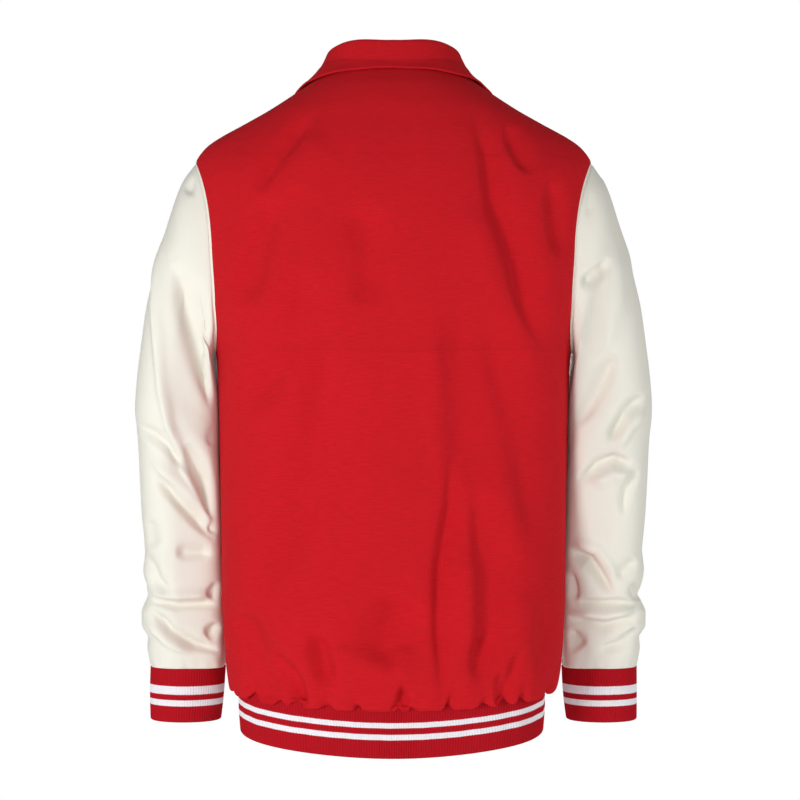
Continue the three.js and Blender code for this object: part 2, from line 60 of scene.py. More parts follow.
def curveThrough(keys, values, t):
    # a smooth curve through rows of values that never overshoots them
    keys = np.asarray(keys, float)
    values = np.asarray(values, float)
    if keys[0] > keys[-1]:
        keys, values = keys[::-1], values[::-1]
    t = np.asarray(t, float)
    shape = (len(keys),) + (1,) * (values.ndim - 1)
    spans = np.diff(keys).reshape((-1,) + shape[1:])
    straight = np.diff(values, axis=0) / spans
    gaps = (keys[2:] - keys[:-2]).reshape((-1,) + shape[1:])
    slopes = np.empty_like(values)
    slopes[1:-1] = (values[2:] - values[:-2]) / gaps
    slopes[0], slopes[-1] = straight[0], straight[-1]
    i = np.clip(np.searchsorted(keys, t, side="right") - 1, 0, len(keys) - 2)
    span = keys[i + 1] - keys[i]
    s = clamp((t - keys[i]) / span)
    if values.ndim > 1:
        extra = (1,) * (values.ndim - 1)
        span, s = span.reshape(span.shape + extra), s.reshape(s.shape + extra)

    def limited(m):
        most = 2.5 * np.abs(straight[i])
        return np.where(m * straight[i] <= 0, 0, np.sign(m) * np.minimum(np.abs(m), most)) * span

    rise = s * s * (3 - 2 * s)
    middle = mix(values[i], values[i + 1], rise)
    return middle + s * (1 - s) ** 2 * limited(slopes[i]) - s * s * (1 - s) * limited(slopes[i + 1])


def fromTable(rows, key, name, t):
    return curveThrough([row[key] for row in rows], [row[name] for row in rows], t)


def solve(f, low, high):
    # where a function that only rises or only falls crosses zero, for whole arrays
    rising = f(high) > f(low)
    for _ in range(38):
        mid = (low + high) / 2
        past = (f(mid) > 0) == rising
        low, high = np.where(past, low, mid), np.where(past, mid, high)
    return (low + high) / 2


# How every crease is formed along its path
foldForm = {"endWidth": 0.75, "middleWidth": 1.15, "turn": 2, "fade": 3, "start": 0.2}


def foldField(folds, x, z, deeper, narrower, lean):
    # how far the folds push a surface out at x and z, as seen from behind
    total = np.zeros(np.broadcast(x, z).shape)
    for wide, depth, *points in folds:
        path = np.asarray(points, float)
        steps = np.hypot(*np.diff(path, axis=0).T)
        ends = np.concatenate([[0], np.cumsum(steps)])
        best = np.full(total.shape, 1e9)
        place = np.zeros(total.shape)
        left = np.zeros(total.shape)
        for k, step in enumerate(steps):
            dx, dz = (path[k + 1] - path[k]) / step
            s = np.clip((x - path[k, 0]) * dx + (z - path[k, 1]) * dz, 0, step)
            off = np.hypot(x - path[k, 0] - s * dx, z - path[k, 1] - s * dz)
            nearer = off < best
            best = np.where(nearer, off, best)
            place = np.where(nearer, ends[k] + s, place)
            left = np.where(nearer, dx * (z - path[k, 1]) - dz * (x - path[k, 0]), left)
        share = place / ends[-1]
        wide = wide * narrower * mix(foldForm["endWidth"], foldForm["middleWidth"], np.sin(math.pi * share))
        # one side of a crease is steeper than the other
        wide = wide * (1 - lean * np.tanh(left / wide * foldForm["turn"]))
        fast, start = foldForm["fade"], foldForm["start"]
        fade = smooth(share * fast + start) * smooth((1 - share) * fast + start)
        total += depth * deeper * fade * np.exp(-((best / wide) ** 2))
    return total


def unit(v):
    return v / np.maximum(np.linalg.norm(v, axis=-1, keepdims=True), 1e-12)


def gridNormals(points, closed=False):
    # outward is the row direction crossed with the column direction
    up = np.gradient(points, axis=0)
    if closed:
        around = np.roll(points, -1, axis=1) - np.roll(points, 1, axis=1)
    else:
        around = np.gradient(points, axis=1)
    return unit(np.cross(up, around))


def addMesh(name, points, corners, sizes):
    # a mesh object from points and a flat list of face corners
    mesh = bpy.data.meshes.new(name)
    mesh.vertices.add(len(points))
    mesh.vertices.foreach_set("co", (points * metres).astype(np.float32).reshape(-1))
    mesh.loops.add(len(corners))
    mesh.loops.foreach_set("vertex_index", corners.astype(np.int32))
    mesh.polygons.add(len(sizes))
    mesh.polygons.foreach_set("loop_start", (np.cumsum(sizes) - sizes).astype(np.int32))
    mesh.update(calc_edges=True)
    mesh.polygons.foreach_set("use_smooth", np.ones(len(sizes), bool))
    mesh.set_sharp_from_angle(angle=math.radians(62))
    piece = bpy.data.objects.new(name, mesh)
    bpy.context.scene.collection.objects.link(piece)
    return piece


def makeWall(name, outer, inner, closed=False, attributes=None):
    # a closed wall between two grids; the inner one may have fewer columns
    rows, columns = outer.shape[:2]
    innerColumns = inner.shape[1]
    steps = columns if closed else columns - 1
    innerSteps = innerColumns if closed else innerColumns - 1
    ratio = steps // innerSteps
    # cloth coordinates in metres, along the weft and up the warp
    ahead = np.roll(outer, -1, axis=1) if closed else outer[:, 1:]
    weft = np.linalg.norm(ahead - outer[:, :steps], axis=-1).mean(0).cumsum() * metres
    warp = np.linalg.norm(np.diff(outer, axis=0), axis=-1).mean(1).cumsum() * metres
    weft, warp = np.concatenate([[0], weft]), np.concatenate([[0], warp])

    def o(r, c):
        r, c = np.broadcast_arrays(r, c)
        return np.stack([r * columns + c % columns, weft[c], warp[r]], -1)

    def i(r, c):
        r, c = np.broadcast_arrays(r, c)
        return np.stack([rows * columns + r * innerColumns + c % innerColumns, weft[c * ratio], warp[r]], -1)

    def faces(*corners):
        return np.stack(corners, -2).reshape(-1, len(corners), 3)

    r, c = np.arange(rows - 1)[:, None], np.arange(steps)[None, :]
    quads = [faces(o(r, c), o(r + 1, c), o(r + 1, c + 1), o(r, c + 1))]
    c = np.arange(innerSteps)[None, :]
    quads.append(faces(i(r, c), i(r, c + 1), i(r + 1, c + 1), i(r + 1, c)))
    if not closed:
        r = r[:, 0]
        quads.append(faces(o(r, 0), i(r, 0), i(r + 1, 0), o(r + 1, 0)))
        quads.append(faces(i(r, innerSteps), o(r, steps), o(r + 1, steps), i(r + 1, innerSteps)))
    top, half = rows - 1, math.ceil(ratio / 2)
    c, k = np.arange(innerSteps)[:, None], np.arange(ratio)[None, :]
    near, at = c + (k >= half), c * ratio + k
    c = c[:, 0]
    rims = np.concatenate([
        faces(i(0, near), o(0, at), o(0, at + 1)),
        faces(i(top, near), o(top, at + 1), o(top, at)),
        faces(i(0, c), o(0, c * ratio + half), i(0, c + 1)),
        faces(i(top, c), i(top, c + 1), o(top, c * ratio + half)),
    ])
    quads = np.concatenate(quads)
    corners = np.concatenate([quads.reshape(-1, 3), rims.reshape(-1, 3)])
    sizes = np.concatenate([np.full(len(quads), 4), np.full(len(rims), 3)])
    points = np.concatenate([outer.reshape(-1, 3), inner.reshape(-1, 3)])
    piece = addMesh(name, points, corners[:, 0], sizes)
    layer = piece.data.uv_layers.new(name="cloth")
    layer.data.foreach_set("uv", corners[:, 1:].astype(np.float32).reshape(-1))
    for label, values in (attributes or {}).items():
        made = piece.data.attributes.new(label, "FLOAT", "POINT")
        values = np.concatenate([np.ravel(side) for side in values])
        made.data.foreach_set("value", values.astype(np.float32))
    return piece


def trimEdges(points, gap, closed=False):
    # draws the edges in so that neighbours keep a seam gap
    def pull(a, b):
        return a + unit(b - a) * gap / 2

    points = points.copy()
    if not closed:
        points[:, 0], points[:, -1] = pull(points[:, 0], points[:, 1]), pull(points[:, -1], points[:, -2])
    points[0], points[-1] = pull(points[0], points[1]), pull(points[-1], points[-2])
    return points


# Torso

torso = {
    "cloth": 2.0,
    "seamGap": 0.3,
    "seamDip": 0.5,
    "neck": {"side": 72, "back": 62, "front": 80},
    "hemSeam": -654,
    "hemRise": {"side": 18, "from": -400},
    "hemSide": 3.6,
    "slopeStep": 9,
    "steepest": 2.5,
    "slopeFrom": -25,
    "foldsAbove": 11,
    "roll": {"centre": 12, "side": 19, "above": 12, "wide": 13, "pinch": 0.16},
    "creases": {"deeper": 1.65, "narrower": 1.1, "lean": 0.12},
    "square": {"back": 2.35, "front": 2.05},
    "ridge": {"soften": 34, "below": -22, "low": -230},
    "armhole": {"top": -97, "bottom": -297, "back": 62, "front": 58, "square": 2.4},
    "lap": {"across": 18, "lift": 3.0, "start": 46},
    "rings": [
        {"z": 8, "side": 62, "back": 55, "front": 52},
        {"z": 5, "side": 66, "back": 58, "front": 55},
        {"z": 0, "side": 72, "back": 62, "front": 58},
        {"z": -12, "side": 84, "back": 74, "front": 63},
        {"z": -22, "side": 98, "back": 83, "front": 67},
        {"z": -51, "side": 143, "back": 100, "front": 75},
        {"z": -66, "side": 172, "back": 106, "front": 79},
        {"z": -78, "side": 192, "back": 110, "front": 87},
        {"z": -87, "side": 201, "back": 112.5, "front": 93},
        {"z": -97, "side": 207, "back": 115, "front": 100},
        {"z": -115, "side": 207, "back": 119, "front": 110},
        {"z": -150, "side": 206, "back": 124, "front": 122},
        {"z": -200, "side": 203, "back": 128, "front": 131},
        {"z": -245, "side": 197, "back": 128, "front": 134},
        {"z": -275, "side": 190, "back": 127, "front": 134},
        {"z": -303, "side": 185, "back": 126, "front": 134},
        {"z": -352, "side": 183, "back": 122, "front": 132},
        {"z": -422, "side": 181.5, "back": 118, "front": 130},
        {"z": -502, "side": 180, "back": 119, "front": 130},
        {"z": -570, "side": 179.5, "back": 124, "front": 132},
        {"z": -605, "side": 178, "back": 126, "front": 133},
        {"z": -628, "side": 176, "back": 125, "front": 131},
        {"z": -641, "side": 171.5, "back": 122, "front": 126},
        {"z": -648, "side": 166, "back": 118, "front": 120},
        {"z": -654, "side": 158, "back": 113, "front": 115},
        {"z": -680, "side": 157.5, "back": 111.5, "front": 114},
        {"z": -710, "side": 156, "back": 109, "front": 112},
    ],
}

# Creases of the back: how wide, how deep (a ridge is positive), and where they run in x and z
backFolds = [
    (8, -4.6, (84, -58), (102, -76), (126, -106), (140, -136)),
    (13, 2.4, (70, -74), (92, -106), (102, -145)),
    (13, -5.0, (124, -140), (140, -190), (152, -250)),
    (16, -4.6, (40, -146), (26, -195), (31, -252)),
    (16, -5.6, (88, -210), (108, -285), (151, -358)),
    (19, -7.4, (68, -258), (81, -365), (101, -455), (139, -548)),
    (29, -6.8, (-72, -236), (-82, -355), (-86, -440)),
    (11, 1.8, (-40, -262), (-43, -355), (-46, -432)),
    (9, -6.4, (-60, -405), (-60, -450), (-50, -515), (-49, -560), (-52, -646)),
    (11, 3.4, (-73, -492), (-73, -545), (-76, -600)),
    (15, -6.4, (-86, -430), (-101, -520), (-99, -580), (-88, -636)),
    (12, -7.4, (-84, -56), (-99, -95), (-107, -145), (-124, -195), (-137, -245), (-154, -292)),
    (14, 2.8, (-74, -150), (-92, -200), (-108, -250)),
    (8, -5.0, (-116, -66), (-141, -116)),
    (8, -4.8, (-161, -122), (-170, -200)),
    (17, -5.6, (-101, -258), (-131, -365), (-152, -508)),
    (25, -9.0, (-12, -540), (0, -566), (20, -612)),
    (8, -5.0, (84, -582), (72, -632)),
    (15, -8.0, (160, -566), (144, -612), (122, -646)),
    (9, 3.4, (-8, -592), (-11, -622)),
    (3.6, -4.4, (-10, -627), (-6, -638), (2, -650)),
    (3.6, -4.4, (-10, -627), (-13, -640), (-18, -650)),
    (9, -4.6, (126, -606), (112, -628), (92, -648)),
    (9, -3.4, (82, -578), (70, -606), (62, -632)),
    (10, -4.0, (-96, -578), (-92, -602), (-86, -628)),
    (5, -4.0, (-112, -622), (-108, -646)),
    (5, -4.0, (-127, -606), (-122, -628), (-110, -648)),
    (13, 2.4, (52, -590), (50, -625)),
    (13, 2.4, (-126, -540), (-130, -620)),
    (9, -3.6, (-158, -560), (-152, -630)),
    (7, -3.6, (112, -616), (88, -648)),
    (24, 1.6, (20, -300), (16, -380), (22, -460)),
]
frontFolds = [
    (15, -6.0, (88, -108), (112, -160), (132, -222)),
    (15, -6.0, (-88, -108), (-114, -160), (-136, -212)),
    (13, -5.0, (152, -240), (128, -300), (92, -336)),
    (13, -5.0, (-152, -250), (-124, -305), (-86, -346)),
    (13, -6.0, (66, -450), (62, -550), (60, -632)),
    (13, -6.0, (-78, -480), (-72, -570), (-68, -632)),
    (11, -5.0, (118, -500), (110, -580), (116, -636)),
    (11, -5.0, (-126, -480), (-118, -570), (-122, -636)),
    (15, -4.0, (142, -350), (130, -430), (138, -520)),
    (15, -4.0, (-144, -360), (-136, -440), (-142, -540)),
    (16, -3.0, (92, -360), (88, -430), (94, -480)),
    (16, -3.0, (-94, -370), (-98, -430), (-96, -470)),
]
# Gathers into the hem rib: place round the body from the centre back, width, depth and height
gathers = [
    (-176, 2.2, 1.4, 14), (-160, 2.6, 4.2, 30),
    (-143, 1.8, 2.6, 16), (-131, 2.4, 4.6, 34),
    (-113, 2, 3, 20), (-99, 2.6, 4.4, 30),
    (-86, 1.8, 2.6, 16), (-71, 2.2, 3.8, 22),
    (-57.4, 1.6, 3.6, 24), (-50, 1.5, 4.4, 18),
    (-41, 2.2, 3, 30), (-25.5, 1.5, 4.8, 26),
    (-9.5, 1.4, 4, 9), (-2.5, 1.4, 4, 9),
    (16, 1.5, 4.4, 14), (30.5, 2.4, 3, 30),
    (43, 2.2, 5, 26), (50, 1.6, 3.2, 16),
    (63, 2.4, 4, 30), (77, 1.8, 2.8, 18),
    (91, 2.6, 4.4, 32), (106, 1.8, 3, 16),
    (121, 2.4, 4.6, 32), (139, 2, 3, 20),
    (153, 2.6, 4.2, 28), (168, 2, 2.2, 16),
]


gatherForm = {"lean": 0.09, "leanTurn": 0.7, "spread": 0.5, "hidden": 0.25, "clear": 7, "soften": 60}


def oval(angle, side, depth, square):
    across, along = np.abs(np.sin(angle) / side), np.abs(np.cos(angle) / depth)
    return (across ** square + along ** square) ** (-1 / square)


def ringRadius(angle, z):
    isBack = np.cos(angle) > 0
    square = np.where(isBack, torso["square"]["back"], torso["square"]["front"])
    side, back, front = (fromTable(torso["rings"], "z", name, z) for name in ("side", "back", "front"))
    return oval(angle, side, np.where(isBack, back, front), square)


def torsoRadius(angle, z):
    angle, z = np.broadcast_arrays(angle, z)
    ridge = torso["ridge"]

    def at(height):
        return ringRadius(angle, height)

    # the shoulder's ridge softens away from the side
    reach = ridge["soften"] * smooth(np.abs(np.cos(angle)) * 2.2)
    reach = reach * smooth((z - ridge["low"]) / 60) * smooth((ridge["below"] - z) / 40)
    return (at(z) + at(z - reach) + at(z + reach) + at(z - reach / 2) + at(z + reach / 2)) / 5


def neckHeight(angle):
    neck = torso["neck"]
    depth = np.where(np.cos(angle) > 0, neck["back"], neck["front"])
    radius = oval(angle, neck["side"], depth, 2)
    low = np.full(np.shape(angle), -150.0)
    return solve(lambda z: torsoRadius(angle, z) - radius, low, low + 158.0)


def gatherField(angle, above):
    total = np.zeros(np.broadcast(angle, above).shape)
    degrees = (np.degrees(angle) + 180) % 360 - 180
    for at, wide, deep, tall in gathers:
        off = (degrees - at + 180) % 360 - 180
        lean = off + gatherForm["lean"] * above * math.sin(at * gatherForm["leanTurn"])
        wide = wide * (1 + clamp(above / tall) * gatherForm["spread"])
        total -= deep * np.exp(-((lean / wide) ** 2)) * np.exp(-((above / tall) ** 2))
    return total


def torsoPoint(angle, z, lift=0.0, level=False):
    angle, z = np.broadcast_arrays(np.asarray(angle, float), np.asarray(z, float))
    above = z - torso["hemSeam"]
    plain = torsoRadius(angle, z)
    x = plain * np.sin(angle)
    isBack = np.cos(angle) > 0
    gather = 0.0
    radius = plain + lift
    if not level:
        creases = torso["creases"]
        onBack, onFront = (foldField(rows, x, z, **creases) for rows in (backFolds, frontFolds))
        folds = np.where(isBack, onBack, onFront)
        # none at the side seams or in the hem seam, and few under the front lap
        facing = smooth(np.abs(np.cos(angle)) * 3) * smooth(above / torso["foldsAbove"])
        offLap = smooth(np.abs(math.pi - np.abs(angle)) * 7 - 0.6)
        gather = gatherField(angle, above) * mix(gatherForm["hidden"], 1.0, offLap)
        # creases go in square to the cloth, which is sloped at the shoulders
        step = torso["slopeStep"]
        slope = (ringRadius(angle, z - step) - ringRadius(angle, z + step)) / (2 * step)
        slope = np.clip(slope, 0, torso["steepest"]) * smooth((torso["slopeFrom"] - z) / 25)
        push = facing * folds / np.sqrt(1 + slope ** 2)
        nearSeam = smooth(above / gatherForm["clear"]) * smooth(above * 9 / gatherForm["soften"] + 0.1)
        radius = radius + push + gather * nearSeam
        z = z + push * slope
    rise, roll = torso["hemRise"], torso["roll"]
    lower = smooth((rise["from"] - z) / (rise["from"] - torso["hemSeam"]))
    lifted = rise["side"] * (1 - np.cos(angle)) * lower
    sag = mix(roll["centre"], roll["side"], np.sin(angle) ** 2)
    sag = sag * (1 + roll["pinch"] * gather) * smooth(above / 6)
    drop = sag * np.exp(-(((above - roll["above"]) / roll["wide"]) ** 2))
    # the hem is a little fuller on the wearer's left
    fuller = torso["hemSide"] * smooth(np.sin(angle)) * smooth((20 - above) / 20)
    return np.stack([radius * np.sin(angle) + fuller, radius * np.cos(angle), z + lifted - drop], -1)


def surfaceNormals(point, angle, z):
    e = 1e-3
    up = point(angle, z + e) - point(angle, z - e)
    around = point(angle + e, z) - point(angle - e, z)
    return unit(np.cross(up, around))


def lapLift(angle, z, full):
    distance = (math.pi - angle) * torsoRadius(math.pi, z)
    lap = torso["lap"]
    return full * smooth((lap["start"] - distance) / (lap["start"] - lap["across"]))


def frontPoint(side, level=False):
    def point(angle, z):
        if side < 0:
            return torsoPoint(angle, z, level=level)
        normal = surfaceNormals(lambda a, h: torsoPoint(a, h, level=True), angle, z)
        slope = normal[..., 0] * np.sin(angle) + normal[..., 1] * np.cos(angle)
        lift = lapLift(angle, z, torso["lap"]["lift"]) / np.maximum(0.55, slope)
        return torsoPoint(angle, z, lift, level)

    return point


# Rows of the panels, as shares of the way from the hem seam to the neck seam

sideTop = float(neckHeight(np.array(math.pi / 2)))


def shareOf(z):
    return (np.asarray(z, float) - torso["hemSeam"]) / (sideTop - torso["hemSeam"])


panel = {"hemRows": 20, "lowRows": 78, "armRows": 96, "shoulderRows": 34, "columns": 240, "perInnerStep": 2}
armhole = torso["armhole"]
armShares = mix(
    shareOf(armhole["bottom"]), shareOf(armhole["top"]),
    (1 - np.cos(np.linspace(0, math.pi, panel["armRows"] + 1))) / 2,
)
panelShares = np.concatenate([
    shareOf(torso["hemSeam"] + 30 * np.linspace(0, 1, panel["hemRows"], endpoint=False) ** 1.2),
    np.linspace(shareOf(torso["hemSeam"] + 30), armShares[0], panel["lowRows"], endpoint=False),
    armShares[:-1],
    np.linspace(armShares[-1], 1, panel["shoulderRows"] + 1),
])


def heightOn(angle, share):
    return mix(torso["hemSeam"], neckHeight(angle), share)


def armholeWidth(z, face):
    t = np.abs(2 * (z - armhole["bottom"]) / (armhole["top"] - armhole["bottom"]) - 1)
    inside = np.maximum(0, 1 - np.minimum(t, 1) ** armhole["square"])
    return armhole[face] * inside ** (1 / armhole["square"])


def sideAngles(shares, face):
    quarter = np.full(len(shares), math.pi / 2)
    far = np.full(len(shares), 0.0 if face == "back" else math.pi)

    def past(angle):
        z = heightOn(angle, shares)
        return torsoRadius(angle, z) * np.abs(np.cos(angle)) - armholeWidth(z, face)

    cut = solve(past, quarter, far)
    inHole = (shares > armShares[0] + 1e-6) & (shares < armShares[-1] - 1e-6)
    return np.where(inHole, cut, quarter)


def makePanel(name, point, angle, z):
    outer = point(angle, z)
    normals = surfaceNormals(point, angle, z)
    inner = outer - normals * torso["cloth"]
    # the cloth dips into its seams
    dip = np.zeros(angle.shape)
    dip[0], dip[-1], dip[:, 0], dip[:, -1] = 0.0, 0.3, 1.0, 1.0
    outer = outer - normals * (dip * torso["seamDip"])[..., None]
    outer = trimEdges(outer, torso["seamGap"])
    inner = trimEdges(inner, torso["seamGap"])[:, :: panel["perInnerStep"]]
    return makeWall(name, outer, inner)


def makeBack():
    edge = sideAngles(panelShares, "back")[:, None]
    angle = edge * np.linspace(-1, 1, panel["columns"] + 1)[None, :]
    z = heightOn(angle, panelShares[:, None])
    return makePanel("back", lambda a, h: torsoPoint(a, h), angle, z)


def makeFront(name, side):
    edge = sideAngles(panelShares, "front")[:, None]
    middle = heightOn(np.full(panelShares.shape, math.pi), panelShares)
    end = (math.pi + torso["lap"]["across"] / torsoRadius(math.pi, middle))[:, None]
    share = np.linspace(0, 1, panel["columns"] // 2 + 1)[None, :]
    angle = side * mix(edge, end, share)
    if side < 0:
        angle = angle[:, ::-1]
    z = heightOn(angle, panelShares[:, None])
    return makePanel(name, frontPoint(side), angle, z)


# Sleeves

sleeve = {
    "cloth": 2.0,
    "rows": 270,
    "perInnerStep": 2,
    # the start as steps in from the seam's edge, out of the cloth and down the arm
    "seamRoll": [(-3.0, -2.7, 0), (0.4, -0.6, 0), (1.5, 1.2, 0), (0.2, 2.8, 3.2)],
    "seamRows": 12,
    "puckers": {"count": 22, "deep": 0.5, "tall": 7},
    "otherDrop": 12,
    "square": {"inner": 4.6, "outer": 2.2},
    "creases": {"deeper": 1.7, "narrower": 0.85, "lean": 0.25},
    "sections": [
        {"outX": 222, "outY": 0, "outZ": -119, "inX": 188, "inY": -6, "inZ": -304, "deep": 63},
        {"outX": 235, "outY": 0, "outZ": -157, "inX": 185.6, "inY": -16, "inZ": -320, "deep": 66},
        {"outX": 245.5, "outY": -1, "outZ": -195, "inX": 183.4, "inY": -25, "inZ": -337, "deep": 68},
        {"outX": 258, "outY": -3, "outZ": -242, "inX": 182, "inY": -34, "inZ": -357, "deep": 69},
        {"outX": 265, "outY": -6, "outZ": -287, "inX": 181.6, "inY": -38, "inZ": -380, "deep": 68},
        {"outX": 269.5, "outY": -9, "outZ": -321, "inX": 182, "inY": -35, "inZ": -402, "deep": 66},
        {"outX": 272, "outY": -12, "outZ": -356, "inX": 181, "inY": -38, "inZ": -424, "deep": 64},
        {"outX": 269.5, "outY": -16, "outZ": -386, "inX": 180.5, "inY": -41, "inZ": -443, "deep": 62},
        {"outX": 268, "outY": -22, "outZ": -430, "inX": 180, "inY": -44, "inZ": -470, "deep": 59},
        {"outX": 266.5, "outY": -27, "outZ": -466, "inX": 179.5, "inY": -47, "inZ": -492, "deep": 56},
        {"outX": 264, "outY": -32, "outZ": -503, "inX": 179, "inY": -50, "inZ": -516, "deep": 53},
        {"outX": 266, "outY": -36, "outZ": -526, "inX": 178.5, "inY": -52, "inZ": -534, "deep": 51},
        {"outX": 262, "outY": -39, "outZ": -551, "inX": 178.5, "inY": -54, "inZ": -555, "deep": 49},
        {"outX": 268.5, "outY": -42, "outZ": -570, "inX": 178, "inY": -55, "inZ": -572, "deep": 47.5},
        {"outX": 268.5, "outY": -44, "outZ": -585, "inX": 178.5, "inY": -56, "inZ": -586, "deep": 45},
        {"outX": 262, "outY": -46, "outZ": -597, "inX": 179.5, "inY": -56, "inZ": -597, "deep": 43},
        {"outX": 263, "outY": -48, "outZ": -609, "inX": 179.5, "inY": -56, "inZ": -609, "deep": 41.5},
        {"outX": 259.5, "outY": -50, "outZ": -629, "inX": 180.5, "inY": -56, "inZ": -629, "deep": 38.5},
    ],
}
leftSleeveFolds = [
    (6, 3.2, (232, -138), (244, -168), (246, -251), (240, -335), (234, -368), (217, -418), (199, -450)),
    (14, -8.0, (226, -203), (205, -276), (184, -354)),
    (9, -8.0, (216, -390), (197, -435), (181, -476)),
    (7, -5.0, (269, -370), (234, -393), (213, -419)),
    (8, -6.0, (248, -425), (221, -452), (191, -488)),
    (8, 2.6, (251, -406), (227, -431), (204, -464)),
    (8, -4.0, (228, -506), (190, -506)),
    (7, -4.6, (262, -508), (250, -535), (233, -553)),
    (5.5, -5.0, (257, -556), (226, -562), (183, -560)),
    (6, 3.0, (257, -548), (226, -552), (190, -550)),
    (6, -5.6, (258, -564), (234, -590), (209, -604), (181, -611)),
    (6, 2.8, (261, -578), (238, -601), (214, -613)),
    (8, -5.0, (183, -370), (187, -394)),
    (7, -5.0, (181, -468), (189, -486)),
    (7, -5.0, (181, -538), (195, -553)),
    (8, -5.0, (181, -584), (199, -593)),
    (8, -3.0, (203, -116), (216, -130)),
    (9, -2.4, (256, -470), (252, -500)),
]
rightSleeveFolds = [
    (9, -4.0, (193, -112), (199, -157)),
    (7, -4.6, (190, -227), (206, -214), (222, -202)),
    (14, 2.6, (232, -185), (228, -250), (211, -305)),
    (11, -5.0, (228, -298), (206, -343), (188, -372)),
    (7, -6.4, (263, -341), (239, -360), (223, -388)),
    (7, 2.6, (263, -356), (244, -374), (231, -398)),
    (7, -6.4, (193, -429), (210, -412), (227, -406), (249, -411)),
    (8, 3.0, (205, -433), (226, -421), (249, -424)),
    (6, -4.0, (255, -417), (243, -440), (239, -464)),
    (7, -6.4, (180, -502), (206, -512), (218, -531), (230, -550)),
    (9, -6.0, (181, -524), (190, -558)),
    (8, 3.0, (190, -493), (214, -501), (233, -527)),
    (7, -4.0, (257, -513), (234, -532)),
    (6, -4.0, (251, -538), (263, -557)),
    (5, -4.4, (186, -557), (218, -558), (241, -557), (263, -561)),
    (6, 3.4, (190, -568), (222, -571), (251, -566)),
    (5.5, -5.4, (180, -576), (198, -578), (222, -582), (248, -575), (261, -564)),
    (5.5, -4.4, (217, -608), (239, -602), (259, -585)),
    (9, -5.0, (184, -589), (201, -605)),
]


def armholeRing(side):
    # from the shoulder down the back edge and up the front one
    down, up = armShares[:0:-1], armShares[:-1]
    angles = np.concatenate([sideAngles(down, "back"), sideAngles(up, "front")])
    shares = np.concatenate([down, up])
    z = heightOn(angles, shares)
    points = torsoPoint(side * angles, z)
    return points, surfaceNormals(lambda a, h: torsoPoint(a, h), side * angles, z)


def sleeveRing(section, side, count):
    turn = np.linspace(0, 2 * math.pi, count, endpoint=False)
    across, deep = np.cos(turn), np.sin(turn)
    square = mix(sleeve["square"]["outer"], sleeve["square"]["inner"], smooth(0.3 - across))
    swell = (np.abs(across) ** square + np.abs(deep) ** square) ** (-1 / square)
    across, deep = across * swell, deep * swell
    x, y, z = (mix(section["in" + k], section["out" + k], (1 + across) / 2) for k in "XYZ")
    return np.stack([side * x, y + section["deep"] * deep, z], -1)


def makeSleeve(name, side, folds, otherFolds):
    points, normals = armholeRing(side)
    count = len(points)
    rings = [sleeveRing(section, side, count) for section in sleeve["sections"]]
    around = np.roll(points, -1, axis=0) - np.roll(points, 1, axis=0)
    inward = -side * unit(np.cross(normals, around))
    towards = unit(rings[0] - points)
    turn = (1 - (inward * towards).sum(-1, keepdims=True)) / 2

    def roll(into, out, away):
        return points + inward * into + normals * out * turn + towards * away

    # an allowance under the body's cloth, then a rolled edge at the seam
    start = [roll(*step) for step in sleeve["seamRoll"]]
    seam, seamRows = start[0], sleeve["seamRows"]
    control = np.stack(start + rings)
    keys = np.concatenate([[0], np.linalg.norm(np.diff(control, axis=0), axis=-1).mean(1).cumsum()])
    fine = np.concatenate([
        np.linspace(0, keys[3], seamRows, endpoint=False),
        np.linspace(keys[3], keys[-1], sleeve["rows"] - seamRows),
    ])
    outer = curveThrough(keys, control, fine)
    if side < 0:
        outer = np.concatenate([outer[:, :1], outer[:, :0:-1]], axis=1)
    facing = gridNormals(outer, True)
    # creases: the near side as seen from behind, and the other sleeve's set on the hidden side
    x, z = np.abs(outer[..., 0]), outer[..., 2]
    behind = smooth(facing[..., 1] * 1.6 + 0.45)
    creases = sleeve["creases"]
    fold = behind * foldField(folds, x, z, **creases)
    fold = fold + (1 - behind) * foldField(otherFolds, x, z - sleeve["otherDrop"], **creases)
    toEnd = (keys[-1] - fine)[:, None]
    clear = smooth((fine - keys[3]) / 12)[:, None] * smooth(toEnd / 8)
    clear = clear * smooth((facing[..., 0] * side + 1.0) / 0.5)
    pucker = sleeve["puckers"]
    puckers = pucker["deep"] * np.sin(np.linspace(0, 2 * math.pi * pucker["count"], count))[None, :]
    puckers = puckers * np.exp(-((toEnd / pucker["tall"]) ** 2)) * smooth(toEnd / 3)
    outer = outer + facing * (fold * clear + puckers)[..., None]
    outer[-1] = outer[-1] - facing[-1] * torso["seamDip"]
    facing = gridNormals(outer, True)
    inner = outer - facing * sleeve["cloth"]
    seamInside = seam - normals * sleeve["cloth"]
    if side < 0:
        seamInside = np.concatenate([seamInside[:1], seamInside[:0:-1]])
    inner[0] = seamInside
    return makeWall(name, outer, inner[:, :: sleeve["perInnerStep"]], True)


# Rib-knit cuffs and hem

rib = {
    "cloth": 2.4, "depth": 0.75, "columnsPerRib": 4, "perInnerStep": 8,
    "edge": {"round": 0.9, "share": 0.05, "swell": 0.5}, "extraRows": [0.006, 0.014, 0.026, 0.04, 0.985],
}
cuff = {
    "ribs": 84, "rows": 26, "height": 57, "endX": 222.6, "endY": -54, "across": 37, "deep": 35.5,
    "stripes": [(0.303, 0.421), (0.52, 0.68)],
}
hem = {"ribs": 300, "rows": 26, "height": 52, "lift": 4.0, "stripes": [(0.368, 0.482), (0.600, 0.708)]}


def bandInset(up):
    # a rounded lower edge and a slight swell at mid height
    edge = rib["edge"]
    t = clamp(up / edge["share"])
    return edge["round"] * (1 - np.sqrt(t * (2 - t))) - edge["swell"] * np.sin(math.pi * up)


